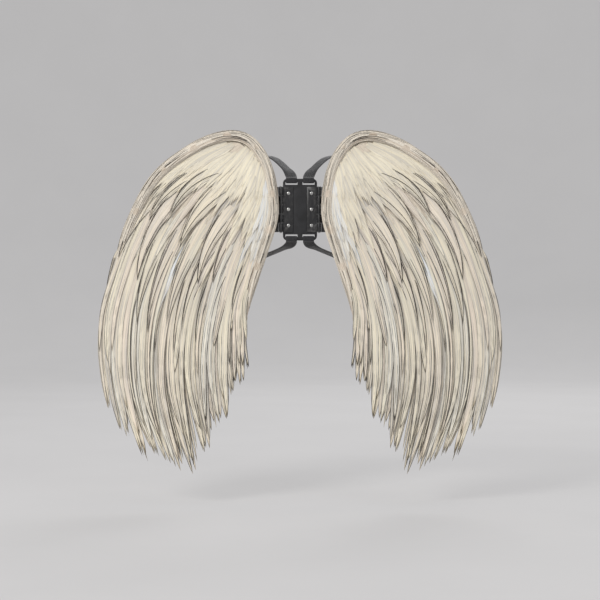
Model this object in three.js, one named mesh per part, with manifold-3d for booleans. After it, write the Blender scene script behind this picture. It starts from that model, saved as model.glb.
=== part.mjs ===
// Feathered costume wings on a folding shoulder harness. Units are millimetres.
//
// +Z is up. +Y points to the wearer's chest, so the show side of the feathers faces -Y.
// +X is the wearer's right. The origin is the middle of the pad face that rests on the wearer's back.
// The right side is built once, and the left side is its mirror.
import * as THREE from 'three';
import { mergeVertices } from 'three/addons/utils/BufferGeometryUtils.js';
import Module from 'manifold-3d';

const wasm = await Module();
wasm.setup();

// ---------------------------------------------------------------- driving dimensions

const SEAT_GAP = 0.3; // between two flat pieces that rest on each other
const CURVED_GAP = 0.6; // between the curved panel and a piece laid along it

// Wing outline. Levels are measured from the middle of the hinge.
const WING_WIDTH = 360;
const WING_RISE = 156; // hinge level up to the top of the rim
const PANEL_DROP = 390; // hinge level down to the end of the backing panel
const TIP_DROP = 524; // hinge level down to the lowest feather tip
const RIM_TO_CENTRE = 42; // wearer's spine to the nearest point of the wing's rim
const OUTER_BOW = 36; // how far the outer edge curves forward, round the wearer
const BOW_START = 95; // distance from the spine where that curve begins
const TIP_SWEEP = 20; // how far the lowest tips stand back from the wearer
const SWEEP_START = 100; // distance below the hinge level where that sweep begins

// Backing panel, wire frame, ribs and padded rim
const PANEL_THICKNESS = 3;
const PANEL_INSET = 10; // outline to the panel's edge
const WIRE_DIAMETER = 5;
const WIRE_INSET = 16; // outline to the wire's centre
const WIRE_END_GAP = 6; // between the two ends of the wire, inside the root block
const WIRE_GROOVE_CLEARANCE = 0.3;
const GROOVE_END_GAP = 0.5; // left between the two ends of the wire's groove
const RIB_WIDTH = 9;
const RIB_THICKNESS = 1.2;
const ROLL_WIDTH = 20;
const ROLL_HEIGHT = 13;
const ROLL_INSET = 10.5; // outline to the middle of the roll
const CAP_HEIGHT = 9; // plush shoulder cap, at its middle
const CAP_RIM_HEIGHT = 3;
const CAP_TO_ROLL = 5;
const CAP_MIDDLE = [94, 46]; // where it is deepest

// Feather rows, laid like shingles
const ROW_SPACING = 50;
const BLADE_THICKNESS = 1.9;
const ROW_GAP = 0.6; // clear space between two rows
const ROW_SEAT = 0.9; // panel to the root of a row
const ROOT_ARCH = 20; // how far the middle of a row's root line rises
const TAPE_WIDTH = 9;
const TAPE_THICKNESS = 1.1;
const FEATHER_MARGIN = 5; // rim roll to the nearest feather
const FEATHER_OVERLAP = 1.45; // blade width over the spacing of its row

// Butt hinge
const HINGE_LENGTH = 90;
const KNUCKLE_RADIUS = 4;
const KNUCKLES = 5;
const KNUCKLE_GAP = 0.5;
const PIN_RADIUS = 1.5;
const PIN_CLEARANCE = 0.2;
const PIN_HEAD_RADIUS = 3;
const PIN_HEAD_HEIGHT = 1.5;
const LEAF_THICKNESS = 1.5;
const LEAF_NOTCH_GAP = 0.4; // leaf edge to the other leaf's knuckles
const FIXED_LEAF_REACH = 24;
const WING_LEAF_REACH = 52;
const HINGE_TO_PLATE = 4; // hinge axis to the edge of the back plate

// Root block, which clamps the wire between the panel and the wing leaf
const BLOCK_WIDTH = 44;
const BLOCK_TO_AXIS = 9;

// Rivets
const RIVET_SHANK_RADIUS = 1.9;
const RIVET_HEAD_RADIUS = 3.6;
const RIVET_HEAD_HEIGHT = 1.6;
const RIVET_FLANGE_HEIGHT = 1.1;
const RIVET_CLEARANCE = 0.3;
const RIVET_SPREAD = 32; // middle rivet to the upper and lower ones
const PLATE_RIVET_TO_AXIS = 15;
const WING_RIVET_TO_AXIS = 42;

// Back plate and its pad
const PLATE_WIDTH = 68;
const PLATE_HEIGHT = 123;
const PLATE_THICKNESS = 3;
const PLATE_CORNER = 9;
const PAD_WIDTH = 64;
const PAD_HEIGHT = 92;
const PAD_THICKNESS = 10;
const PAD_CORNER = 12;

// Shoulder straps and their slots
const STRAP_WIDTH = 22;
const STRAP_THICKNESS = 1.8;
const STRAP_CLEARANCE = 0.4;
const STRAP_TO_CENTRE = 17;
const SLOT_BAR = 7; // plate left between a slot and the plate's end
const SLOT_HEIGHT = 5;
const SLOT_CLEARANCE = 1; // strap edge to the end of its slot
const TWIST_START = 8; // length of strap that lies square to its slot
const STRAP_TWIST = 45; // length of strap by which it has turned to face its loop

// Strap adjuster, which slides on the straight lower limb of the strap
const ADJUSTER_LENGTH = 24;
const ADJUSTER_WALL = 2.2;
const ADJUSTER_CLEARANCE = 0.4;
const WINDOW_LENGTH = 9.6; // opening in the adjuster's outer wall
const WINDOW_MARGIN = 3;
const ADJUSTER_FROM_FRONT = 22; // front end of the straight limb to the middle of the adjuster

// ---------------------------------------------------------------- derived planes, from the wearer outwards

const PLATE_REAR_Y = -(PAD_THICKNESS + SEAT_GAP);
const PLATE_FRONT_Y = PLATE_REAR_Y - PLATE_THICKNESS;
const LEAF_REAR_Y = PLATE_FRONT_Y - SEAT_GAP;
const LEAF_FRONT_Y = LEAF_REAR_Y - LEAF_THICKNESS;
const HINGE_Y = LEAF_REAR_Y - KNUCKLE_RADIUS;
const HINGE_X = PLATE_WIDTH / 2 + HINGE_TO_PLATE;
const BLOCK_THICKNESS = WIRE_DIAMETER + SEAT_GAP;
const PANEL_REAR_Y = LEAF_FRONT_Y - SEAT_GAP - BLOCK_THICKNESS - SEAT_GAP;
const PANEL_FRONT_Y = PANEL_REAR_Y - PANEL_THICKNESS;
const ROW_PITCH = BLADE_THICKNESS + ROW_GAP;
const SHINGLE_SLOPE = ROW_PITCH / ROW_SPACING;

// ---------------------------------------------------------------- materials

const finish = (color, roughness, metalness) =>
  new THREE.MeshStandardMaterial({ color, roughness, metalness });

const MATERIALS = {
  feather: finish(0xe6dccb, 0.8, 0),
  rim: finish(0xe9dfce, 0.85, 0),
  felt: finish(0xd8cdb9, 0.95, 0),
  wire: finish(0xb9b9b4, 0.35, 1),
  boning: finish(0xf0eee8, 0.5, 0),
  block: finish(0x1c1c1d, 0.55, 0),
  plate: finish(0x17171a, 0.5, 0),
  hinge: finish(0x2a2a2c, 0.4, 1),
  rivet: finish(0x77777a, 0.35, 1),
  pad: finish(0x1b1b1e, 0.95, 0),
  webbing: finish(0x151517, 0.9, 0),
  adjuster: finish(0x121214, 0.45, 0),
};

// ---------------------------------------------------------------- solids: joining and cutting

function toSolid(geometry) {
  const bare = geometry.clone();
  bare.deleteAttribute('normal');
  bare.deleteAttribute('uv');
  const merged = mergeVertices(bare, 1e-4);
  const corners = merged.index.array;
  const triangles = [];
  for (let i = 0; i < corners.length; i += 3) {
    const [a, b, c] = corners.slice(i, i + 3);
    if (a !== b && b !== c && c !== a) triangles.push(a, b, c);
  }
  return new wasm.Manifold(new wasm.Mesh({
    numProp: 3,
    vertProperties: new Float32Array(merged.attributes.position.array),
    triVerts: new Uint32Array(triangles),
  }));
}

function toGeometry(solid) {
  const mesh = solid.getMesh();
  const geometry = new THREE.BufferGeometry();
  geometry.setAttribute('position', new THREE.BufferAttribute(Float32Array.from(mesh.vertProperties), 3));
  geometry.setIndex(new THREE.BufferAttribute(Uint32Array.from(mesh.triVerts), 1));
  geometry.computeVertexNormals();
  return geometry;
}

const join = (pieces) => toGeometry(pieces.map(toSolid).reduce((a, b) => a.add(b)));

const cut = (piece, tools) =>
  toGeometry(tools.reduce((solid, tool) => solid.subtract(toSolid(tool)), toSolid(piece)));

const keepInside = (piece, prism) => toGeometry(toSolid(piece).intersect(toSolid(prism)));

// ---------------------------------------------------------------- basic shapes

// A closed polygon as a THREE.Shape, from [x, y] pairs.
const polygon = (points) => new THREE.Shape(points.map(([x, y]) => new THREE.Vector2(x, y)));

function regularPolygon(sides, radius, x = 0, y = 0) {
  const corner = (i) => (2 * Math.PI * (i + 0.5)) / sides;
  return polygon(Array.from({ length: sides }, (_, i) =>
    [x + radius * Math.cos(corner(i)), y + radius * Math.sin(corner(i))]));
}

const rectangle = (x0, y0, x1, y1) => polygon([[x0, y0], [x1, y0], [x1, y1], [x0, y1]]);

function roundedRectangle(width, height, corner) {
  const [x, y] = [width / 2 - corner, height / 2 - corner];
  const shape = new THREE.Shape();
  shape.absarc(x, y, corner, 0, Math.PI / 2);
  shape.absarc(-x, y, corner, Math.PI / 2, Math.PI);
  shape.absarc(-x, -y, corner, Math.PI, 1.5 * Math.PI);
  shape.absarc(x, -y, corner, 1.5 * Math.PI, 2 * Math.PI);
  return shape;
}

// A flat shape, drawn as (x, z), between two y levels.
function slab(shape, rearY, frontY, curveSegments = 4) {
  const options = { depth: rearY - frontY, bevelEnabled: false, curveSegments };
  return new THREE.ExtrudeGeometry(shape, options).rotateX(Math.PI / 2).translate(0, rearY, 0);
}

const box = (x0, x1, y0, y1, z0, z1) =>
  new THREE.BoxGeometry(x1 - x0, y1 - y0, z1 - z0).translate((x0 + x1) / 2, (y0 + y1) / 2, (z0 + z1) / 2);

// A turned piece on an axis along Y or Z. The profile is [radius, distance along the axis].
function turned(profile, axis, x, y, z, sides = 12) {
  const points = profile.map(([radius, along]) => new THREE.Vector2(radius, along));
  const geometry = new THREE.LatheGeometry(points, sides);
  if (axis === 'z') geometry.rotateX(Math.PI / 2);
  return geometry.translate(x, y, z);
}

const rod = (radius, start, end, axis, x, y, z, sides) =>
  turned([[0, start], [radius, start], [radius, end], [0, end]], axis, x, y, z, sides);

// Sweeps a section through frames. A frame holds the path's point, the directions of the
// section's x and y, and how much they are scaled there.
function sweep(section, steps, frameAt) {
  const geometry = new THREE.ExtrudeGeometry(section, { depth: 1, steps, bevelEnabled: false });
  const position = geometry.attributes.position;
  const point = new THREE.Vector3();
  for (let i = 0; i < position.count; i += 1) {
    const frame = frameAt(position.getZ(i));
    point.copy(frame.origin)
      .addScaledVector(frame.side, position.getX(i) * (frame.sideScale ?? 1))
      .addScaledVector(frame.face, position.getY(i) * (frame.faceScale ?? 1));
    position.setXYZ(i, point.x, point.y, point.z);
  }
  return geometry;
}

// ---------------------------------------------------------------- the wing's outline and curved surface

const lerp = THREE.MathUtils.lerp;
const smooth = THREE.MathUtils.smoothstep;

// Reads a list of [position, value] pairs, in rising order of position.
function interpolate(table, position) {
  const next = table.findIndex(([p]) => p >= position);
  if (next === 0) return table[0][1];
  if (next < 0) return table[table.length - 1][1];
  const [[p0, v0], [p1, v1]] = [table[next - 1], table[next]];
  return lerp(v0, v1, (position - p0) / (p1 - p0));
}

// [share of the width from the inner edge, level]: a level of 1 is the top of the rim,
// 0 the middle of the hinge and -1 the end of the panel. It starts at the hinge and runs up,
// over the top, down the outer side and back up the inner side.
const OUTLINE = [
  [0, 0], [0.008, 0.26], [0.03, 0.5], [0.075, 0.74], [0.15, 0.93], [0.245, 1], [0.36, 0.965],
  [0.5, 0.82], [0.68, 0.51], [0.8, 0.1], [0.91, -0.205], [0.972, -0.45], [1, -0.64], [0.975, -0.83],
  [0.85, -0.96], [0.6, -1], [0.36, -0.95], [0.21, -0.8], [0.168, -0.6], [0.128, -0.41], [0.067, -0.24],
  [0.015, -0.09],
];

const outlinePlace = ([share, level]) =>
  new THREE.Vector3(RIM_TO_CENTRE + share * WING_WIDTH, 0, level * (level > 0 ? WING_RISE : PANEL_DROP));

const outline = new THREE.CatmullRomCurve3(OUTLINE.map(outlinePlace), true, 'centripetal');
outline.arcLengthDivisions = 800;
const OUTLINE_LENGTH = outline.getLength();

// A frame on the outline, moved inwards. The share may lie outside 0 to 1.
function outlineFrame(share, inset) {
  const wrapped = share - Math.floor(share);
  const along = outline.getTangentAt(wrapped);
  const side = new THREE.Vector3(-along.z, 0, along.x);
  return {
    origin: outline.getPointAt(wrapped).addScaledVector(side, -inset),
    side,
    face: new THREE.Vector3(0, -1, 0),
  };
}

const insetOutline = (inset, count) => Array.from({ length: count }, (_, i) => {
  const { origin } = outlineFrame(i / count, inset);
  return [origin.x, origin.z];
});

// The wing's surface is the rear face of its panel: flat at the hinge, curved round the
// wearer at the outer edge, and swept back towards the tips.
function surfaceY(x, z) {
  const bow = Math.max(0, x - BOW_START) / (RIM_TO_CENTRE + WING_WIDTH - BOW_START);
  const sweepBack = Math.max(0, -z - SWEEP_START) / (TIP_DROP - SWEEP_START);
  return PANEL_REAR_Y + OUTER_BOW * bow ** 2 - TIP_SWEEP * sweepBack ** 2;
}

// Lays a piece made on the flat, with the panel's rear face at y = 0, onto that surface.
function drape(geometry) {
  const position = geometry.attributes.position;
  for (let i = 0; i < position.count; i += 1) {
    position.setY(i, position.getY(i) + surfaceY(position.getX(i), position.getZ(i)));
  }
  return geometry;
}

// Inner and outer x of a closed loop of [x, z] points at a level, or null outside it.
function spanAt(loop, z) {
  const crossings = loop.flatMap(([x0, z0], i) => {
    const [x1, z1] = loop[(i + 1) % loop.length];
    return (z0 > z) === (z1 > z) ? [] : [lerp(x0, x1, (z - z0) / (z1 - z0))];
  });
  return crossings.length ? [Math.min(...crossings), Math.max(...crossings)] : null;
}

// ---------------------------------------------------------------- wing structure

function backingPanel() {
  const [columns, rows] = [7, 8];
  const [width, height] = [WING_WIDTH, WING_RISE + PANEL_DROP];
  const sheet = drape(
    new THREE.BoxGeometry(width, PANEL_THICKNESS, height, columns, 1, rows)
      .translate(RIM_TO_CENTRE + width / 2, -PANEL_THICKNESS / 2, WING_RISE - height / 2));
  const prism = slab(polygon(insetOutline(PANEL_INSET, 44)), OUTER_BOW * 2, -OUTER_BOW * 4);
  return cut(keepInside(sheet, prism), rivetHoles(
    HINGE_X + WING_RIVET_TO_AXIS, PANEL_REAR_Y, PANEL_FRONT_Y, PANEL_FRONT_Y));
}

function wireSweep(radius, endGap) {
  const margin = endGap / 2 / OUTLINE_LENGTH;
  const centre = -(CURVED_GAP + WIRE_DIAMETER / 2); // behind the panel
  const section = regularPolygon(6, radius, 0, centre);
  return drape(sweep(section, 42, (s) => outlineFrame(lerp(margin, 1 - margin, s), WIRE_INSET)));
}

const frameWire = () => wireSweep(WIRE_DIAMETER / 2, WIRE_END_GAP);

// Each rib starts at a height beside the root block and ends at a share of the wing's width and
// a level, both as in the outline. Its bend moves the curve's middle control point.
const RIBS = [
  { name: 'rib_upper', rootHeight: 12, end: [0.6, 0.2], bend: [0, 14] },
  { name: 'rib_middle', rootHeight: -12, end: [0.81, -0.49], bend: [26, 26] },
  { name: 'rib_lower', rootHeight: -36, end: [0.44, -0.84], bend: [22, 12] },
];

// A flat boning strip on the rear of the panel, from the root block outwards.
function rib({ rootHeight, end, bend }) {
  const root = [HINGE_X + BLOCK_TO_AXIS + BLOCK_WIDTH + RIB_WIDTH, rootHeight];
  const tip = outlinePlace(end);
  const path = new THREE.QuadraticBezierCurve3(
    new THREE.Vector3(root[0], 0, root[1]),
    new THREE.Vector3((root[0] + tip.x) / 2 + bend[0], 0, (root[1] + tip.z) / 2 + bend[1]),
    tip,
  );
  const section = rectangle(-RIB_WIDTH / 2, -CURVED_GAP - RIB_THICKNESS, RIB_WIDTH / 2, -CURVED_GAP);
  return drape(sweep(section, 9, (s) => planarFrame(path.getPoint(s), path.getTangent(s))));
}

// A frame for a path that lies flat in the wing.
function planarFrame(origin, along) {
  return { origin, side: new THREE.Vector3(-along.z, 0, along.x), face: new THREE.Vector3(0, -1, 0) };
}

const ROLL_START = 0.4; // shares of the outline's length
const ROLL_END = -0.16;
const ROLL_TAPER = 0.12; // share of the roll over which each end narrows

// The padded rim: over the top of the wing and down its inner edge, narrowing to both ends.
function edgeRoll() {
  const foot = PANEL_THICKNESS + CURVED_GAP;
  const arch = [0, 0.28, 0.5, 0.72, 1].map((s) => {
    const angle = Math.PI * s;
    return [(ROLL_WIDTH / 2) * Math.cos(angle), ROLL_HEIGHT * (0.15 + 0.85 * Math.sin(angle))];
  });
  const section = polygon([[-ROLL_WIDTH / 2, 0], [ROLL_WIDTH / 2, 0], ...arch]);
  return drape(sweep(section, 30, (s) => {
    const ends = Math.min(smooth(s, -0.4 * ROLL_TAPER, ROLL_TAPER), smooth(1 - s, -0.4 * ROLL_TAPER, ROLL_TAPER));
    const frame = outlineFrame(lerp(ROLL_END, ROLL_START, s), ROLL_INSET);
    frame.origin.y -= foot;
    return { ...frame, sideScale: lerp(0.3, 1, ends), faceScale: ends };
  }));
}

// The far edge of the shoulder cap, as [x, z] from its top end to its bottom end.
const CAP_EDGE = [[129, 119], [124, 84], [115, 34], [103, -14], [89, -52]];

const CAP_START = -0.04; // shares of the outline's length, along the rim roll
const CAP_END = 0.122;

// The plush cap between the rim roll and the roots of the coverts.
function shoulderCap() {
  const points = 14;
  const nearEdge = Array.from({ length: points }, (_, i) => {
    const share = lerp(CAP_START, CAP_END, i / (points - 1));
    const { origin } = outlineFrame(share, ROLL_INSET + ROLL_WIDTH / 2 + CAP_TO_ROLL);
    return [origin.x, origin.z];
  });
  const rim = [...nearEdge, ...CAP_EDGE];
  const towards = (point, share) => point.map((value, axis) => lerp(value, CAP_MIDDLE[axis], share));
  const foot = PANEL_THICKNESS + CURVED_GAP;
  const rings = [
    { share: 0, depth: foot }, { share: 0, depth: foot + CAP_RIM_HEIGHT },
    { share: 0.3, depth: foot + 0.8 * CAP_HEIGHT }, { share: 0.65, depth: foot + CAP_HEIGHT },
  ].map(({ share, depth }) => rim.map((point) => [towards(point, share), depth]));
  return drape(stack(rings));
}

// A closed solid through rings of [[x, z], depth] points, capped flat at both ends.
function stack(rings) {
  const count = rings[0].length;
  const vertices = rings.flat().map(([[x, z], depth]) => [x, -depth, z]);
  const middleOf = (ring) => {
    const [x, z] = ring.reduce((sum, [point]) => [sum[0] + point[0], sum[1] + point[1]], [0, 0]);
    return [x / count, -ring[0][1], z / count];
  };
  vertices.push(middleOf(rings[0]), middleOf(rings[rings.length - 1]));
  const [rearMiddle, frontMiddle] = [vertices.length - 2, vertices.length - 1];
  const index = [];
  for (let i = 0; i < count; i += 1) {
    const j = (i + 1) % count;
    index.push(rearMiddle, i, j);
    for (let k = 0; k < rings.length - 1; k += 1) {
      const [a, b, c, d] = [k * count + i, k * count + j, (k + 1) * count + j, (k + 1) * count + i];
      index.push(a, d, c, a, c, b);
    }
    const last = (rings.length - 1) * count;
    index.push(frontMiddle, last + j, last + i);
  }
  const geometry = new THREE.BufferGeometry();
  geometry.setAttribute('position', new THREE.Float32BufferAttribute(vertices.flat(), 3));
  geometry.setIndex(index);
  geometry.computeVertexNormals();
  return geometry;
}

// ---------------------------------------------------------------- feathers

// Direction of growth in degrees outwards from straight down, by level in millimetres.
const GROWTH = [
  [-524, -30], [-460, -25], [-380, -13], [-280, 1], [-180, 17], [-80, 33], [20, 47], [80, 54], [156, 62],
].map(([level, angle]) => [level, THREE.MathUtils.degToRad(angle)]);

// How far down the tips of the flight feathers reach, by share of the row from its inner end.
const TIP_LINE = [
  [0, 0.64], [0.12, 0.71], [0.27, 0.83], [0.42, 0.97], [0.52, 1], [0.64, 0.96], [0.78, 0.94], [0.88, 0.83],
  [1, 0.68],
];

const EDGE_BLEND = 60; // distance over which feathers turn to follow an edge of the wing
const LOWEST_EDGE = -0.8 * PANEL_DROP; // below it the panel's rounded end no longer guides them

// The space that feathers may fill: inside the rim roll, then out to the outline below it.
const outlinePoints = insetOutline(0, 120);
const rollRoom = ROLL_INSET + ROLL_WIDTH / 2 + FEATHER_MARGIN;

const CAP_BY_LEVEL = [[CAP_EDGE[4][1] - 30, 0], ...CAP_EDGE.map(([x, z]) => [z, x]).reverse()];

function featherSpan(z) {
  const level = Math.max(z, LOWEST_EDGE);
  const span = spanAt(outlinePoints, level);
  if (!span) return null;
  const [innerEnd, outerEnd] = [ROLL_END, ROLL_START].map((share) => outlineFrame(share, 0).origin.z);
  const inner = rollRoom * smooth(level, innerEnd - EDGE_BLEND, innerEnd);
  const outer = rollRoom * smooth(level, outerEnd - EDGE_BLEND, outerEnd);
  const besideCap = interpolate(CAP_BY_LEVEL, level) + FEATHER_MARGIN;
  return [
    Math.max(span[0] + Math.max(inner, FEATHER_MARGIN), besideCap),
    span[1] - Math.max(outer, FEATHER_MARGIN),
  ];
}

// Growth direction at a point, turned near an edge so that no feather grows across it.
function heading(x, z, halfWidth) {
  const free = interpolate(GROWTH, z);
  const probe = 4;
  const [here, below] = [featherSpan(z), featherSpan(z - probe)];
  if (!here || !below) return free;
  const edgeAngle = (side) => Math.atan2(below[side] - here[side], probe);
  const innerRoom = smooth(x - here[0], halfWidth, halfWidth + EDGE_BLEND);
  const outerRoom = smooth(here[1] - x, halfWidth, halfWidth + EDGE_BLEND);
  const fromInner = lerp(Math.max(free, edgeAngle(0)), free, innerRoom);
  return lerp(Math.min(fromInner, edgeAngle(1)), fromInner, outerRoom);
}

// Follows the growth direction from a root until the feather is long enough or low enough.
function featherPath(x, z, length, lowest, halfWidth) {
  const step = 4;
  const points = [new THREE.Vector3(x, 0, z)];
  for (let grown = 0; grown < length && z > lowest; grown += step) {
    const angle = heading(x, z, halfWidth);
    x += step * Math.sin(angle);
    z -= step * Math.cos(angle);
    points.push(new THREE.Vector3(x, 0, z));
  }
  return new THREE.CatmullRomCurve3(points);
}

const rootArch = (x) => ROOT_ARCH * Math.sin((Math.PI * (x - RIM_TO_CENTRE)) / WING_WIDTH);

// A row's depth in front of the panel at a point: it leaves the panel at its root line and
// rises evenly, so that every row clears the one below it by the same gap.
const rowDepth = (level, x, z) =>
  PANEL_THICKNESS + ROW_SEAT + SHINGLE_SLOPE * Math.max(0, level + rootArch(x) - z);

function layOnRow(geometry, level) {
  const position = geometry.attributes.position;
  for (let i = 0; i < position.count; i += 1) {
    const depth = rowDepth(level, position.getX(i), position.getZ(i));
    position.setY(i, position.getY(i) - depth);
  }
  return drape(geometry);
}

const BLADE_ROOT = 0.4; // widths and thicknesses along a blade, as shares of its largest
const BLADE_TIP = 0.09;
const BLADE_TIP_THICKNESS = 0.45;

// One blade: a shallow ridge on a flat back, widest at its middle and pointed at its tip.
function blade(path, width, steps) {
  const section = polygon([[-width / 2, 0], [width / 2, 0], [0, BLADE_THICKNESS]]);
  return sweep(section, steps, (s) => {
    const swell = lerp(BLADE_ROOT, 1, Math.sin(Math.min(1, 2 * s) * Math.PI / 2));
    return {
      ...planarFrame(path.getPointAt(s), path.getTangentAt(s)),
      sideScale: Math.max(swell * (1 - s ** 3), BLADE_TIP),
      faceScale: lerp(1, BLADE_TIP_THICKNESS, s),
    };
  });
}

// The ends of a row's root line: the stretch of it that lies inside the feathers' space.
function rootEnds(level) {
  const inside = [];
  for (let x = RIM_TO_CENTRE; x <= RIM_TO_CENTRE + WING_WIDTH; x += 1) {
    const span = featherSpan(level + rootArch(x) + 2 * TAPE_WIDTH);
    if (span && x > span[0] && x < span[1]) inside.push(x);
  }
  return [inside[0], inside[inside.length - 1]];
}

// A row of feathers bound to one tape along its root line.
function featherRow({ level, count, length, shorter = 0, steps }) {
  const [start, end] = rootEnds(level);
  const spacing = (end - start) / count;
  const width = spacing * FEATHER_OVERLAP;
  const rootPoint = (x) => new THREE.Vector3(x, 0, level + rootArch(x));
  const blades = Array.from({ length: count }, (_, i) => {
    const share = (i + 0.5) / count;
    const x = lerp(start, end, share);
    const lowest = -TIP_DROP * interpolate(TIP_LINE, share) + shorter;
    const path = featherPath(x, level + rootArch(x), length, lowest, width / 2);
    return layOnRow(blade(path, width, steps), level);
  });
  const tapePath = new THREE.CatmullRomCurve3(
    Array.from({ length: 5 }, (_, i) => rootPoint(lerp(start + TAPE_WIDTH / 2, end - TAPE_WIDTH / 2, i / 4))));
  const tape = layOnRow(sweep(
    rectangle(-TAPE_WIDTH / 2, 0, TAPE_WIDTH / 2, TAPE_THICKNESS), 4,
    (s) => planarFrame(tapePath.getPointAt(s), tapePath.getTangentAt(s))), level);
  return join([tape, ...blades]);
}

const ANY_LENGTH = 2000; // these rows end at the tip line
const LOWEST_ROW = -206;

const ROWS = [
  { name: 'flight_feathers_rear', count: 9, length: ANY_LENGTH, steps: 4 },
  { name: 'flight_feathers_front', count: 8, length: ANY_LENGTH, shorter: 26, steps: 5 },
  { name: 'secondary_feathers', count: 7, length: 270, steps: 4 },
  { name: 'greater_coverts', count: 7, length: 226, steps: 4 },
  { name: 'median_coverts', count: 7, length: 202, steps: 4 },
  { name: 'lesser_coverts', count: 6, length: 190, steps: 4 },
  { name: 'shoulder_coverts', count: 4, length: 168, steps: 4 },
].map((row, i) => ({ ...row, level: LOWEST_ROW + i * ROW_SPACING }));

// ---------------------------------------------------------------- hinge and rivets

const RIVET_LEVELS = { top: RIVET_SPREAD, middle: 0, bottom: -RIVET_SPREAD };

// Clearance holes for the three rivets at x, between two y levels. A sunk flange, if there is
// one, lies just inside sunkY.
function rivetHoles(x, rearY, frontY, sunkY = null) {
  const reach = 1;
  const holeRadius = RIVET_SHANK_RADIUS + RIVET_CLEARANCE;
  const sinkRadius = RIVET_HEAD_RADIUS + RIVET_CLEARANCE;
  const sinkDepth = RIVET_FLANGE_HEIGHT + 2 * RIVET_CLEARANCE;
  return Object.values(RIVET_LEVELS).flatMap((z) => {
    const hole = rod(holeRadius, frontY - reach, rearY + reach, 'y', x, 0, z, 8);
    if (sunkY === null) return [hole];
    const inwards = sunkY === frontY ? 1 : -1;
    const ends = [sunkY - inwards * reach, sunkY + inwards * sinkDepth].sort((a, b) => a - b);
    return [hole, rod(sinkRadius, ends[0], ends[1], 'y', x, 0, z, 8)];
  });
}

// A set rivet along Y: its head stands on headY, and its flange is sunk just inside sunkY.
function rivet(x, z, headY, sunkY) {
  const out = Math.sign(headY - sunkY);
  const profile = [
    [0, headY + out * (SEAT_GAP + RIVET_HEAD_HEIGHT)],
    [RIVET_HEAD_RADIUS * 0.6, headY + out * (SEAT_GAP + RIVET_HEAD_HEIGHT)],
    [RIVET_HEAD_RADIUS, headY + out * (SEAT_GAP + RIVET_HEAD_HEIGHT * 0.4)],
    [RIVET_HEAD_RADIUS, headY + out * SEAT_GAP],
    [RIVET_SHANK_RADIUS, headY + out * SEAT_GAP],
    [RIVET_SHANK_RADIUS, sunkY + out * (RIVET_CLEARANCE + RIVET_FLANGE_HEIGHT)],
    [RIVET_HEAD_RADIUS, sunkY + out * (RIVET_CLEARANCE + RIVET_FLANGE_HEIGHT)],
    [RIVET_HEAD_RADIUS, sunkY + out * RIVET_CLEARANCE],
    [0, sunkY + out * RIVET_CLEARANCE],
  ];
  return turned(out > 0 ? profile.reverse() : profile, 'y', x, 0, z, 8);
}

const knuckleSpan = (i) => {
  const pitch = HINGE_LENGTH / KNUCKLES;
  const bottom = -HINGE_LENGTH / 2 + i * pitch;
  return [bottom + KNUCKLE_GAP / 2, bottom + pitch - KNUCKLE_GAP / 2];
};

// One leaf with every second knuckle. Direction is -1 for the plate's leaf, 1 for the wing's.
function hingeLeaf(direction, reach, firstKnuckle, rivetToAxis) {
  const bore = PIN_RADIUS + PIN_CLEARANCE;
  const clearOfKnuckles = KNUCKLE_RADIUS + LEAF_NOTCH_GAP;
  const xs = [HINGE_X + direction * clearOfKnuckles, HINGE_X + direction * reach].sort((a, b) => a - b);
  const half = HINGE_LENGTH / 2;
  const pieces = [box(xs[0], xs[1], LEAF_FRONT_Y, LEAF_REAR_Y, -half, half)];
  for (let i = firstKnuckle; i < KNUCKLES; i += 2) {
    const [bottom, top] = knuckleSpan(i);
    const ring = [
      [bore, -top], [KNUCKLE_RADIUS, -top], [KNUCKLE_RADIUS, -bottom], [bore, -bottom], [bore, -top],
    ];
    const tab = [HINGE_X, HINGE_X + direction * (clearOfKnuckles + 1)].sort((a, b) => a - b);
    pieces.push(turned(ring, 'z', HINGE_X, HINGE_Y, 0, 16));
    pieces.push(box(tab[0], tab[1], LEAF_FRONT_Y, LEAF_REAR_Y, bottom, top));
  }
  const x = HINGE_X + direction * rivetToAxis;
  return cut(join(pieces), rivetHoles(x, LEAF_REAR_Y, LEAF_FRONT_Y));
}

// The pin runs through every knuckle and is headed over at both ends.
function hingePin() {
  const end = HINGE_LENGTH / 2 + SEAT_GAP;
  const profile = [
    [0, -end - PIN_HEAD_HEIGHT], [PIN_HEAD_RADIUS, -end - PIN_HEAD_HEIGHT], [PIN_HEAD_RADIUS, -end],
    [PIN_RADIUS, -end], [PIN_RADIUS, end], [PIN_HEAD_RADIUS, end],
    [PIN_HEAD_RADIUS, end + PIN_HEAD_HEIGHT], [0, end + PIN_HEAD_HEIGHT],
  ];
  return turned(profile, 'z', HINGE_X, HINGE_Y, 0, 12);
}

// The block between the wing leaf and the panel, grooved for the two ends of the wire.
function rootBlock() {
  const x0 = HINGE_X + BLOCK_TO_AXIS;
  const half = HINGE_LENGTH / 2;
  const rearY = PANEL_REAR_Y + SEAT_GAP + BLOCK_THICKNESS;
  const body = box(x0, x0 + BLOCK_WIDTH, PANEL_REAR_Y + SEAT_GAP, rearY, -half, half);
  // The groove is open towards the panel, so that the wire can be laid in.
  const grooveRadius = (WIRE_DIAMETER / 2 + WIRE_GROOVE_CLEARANCE) / Math.cos(Math.PI / 6);
  const groove = wireSweep(grooveRadius, GROOVE_END_GAP);
  return cut(body, [groove, ...rivetHoles(HINGE_X + WING_RIVET_TO_AXIS, rearY, PANEL_REAR_Y)]);
}

// ---------------------------------------------------------------- harness

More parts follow.
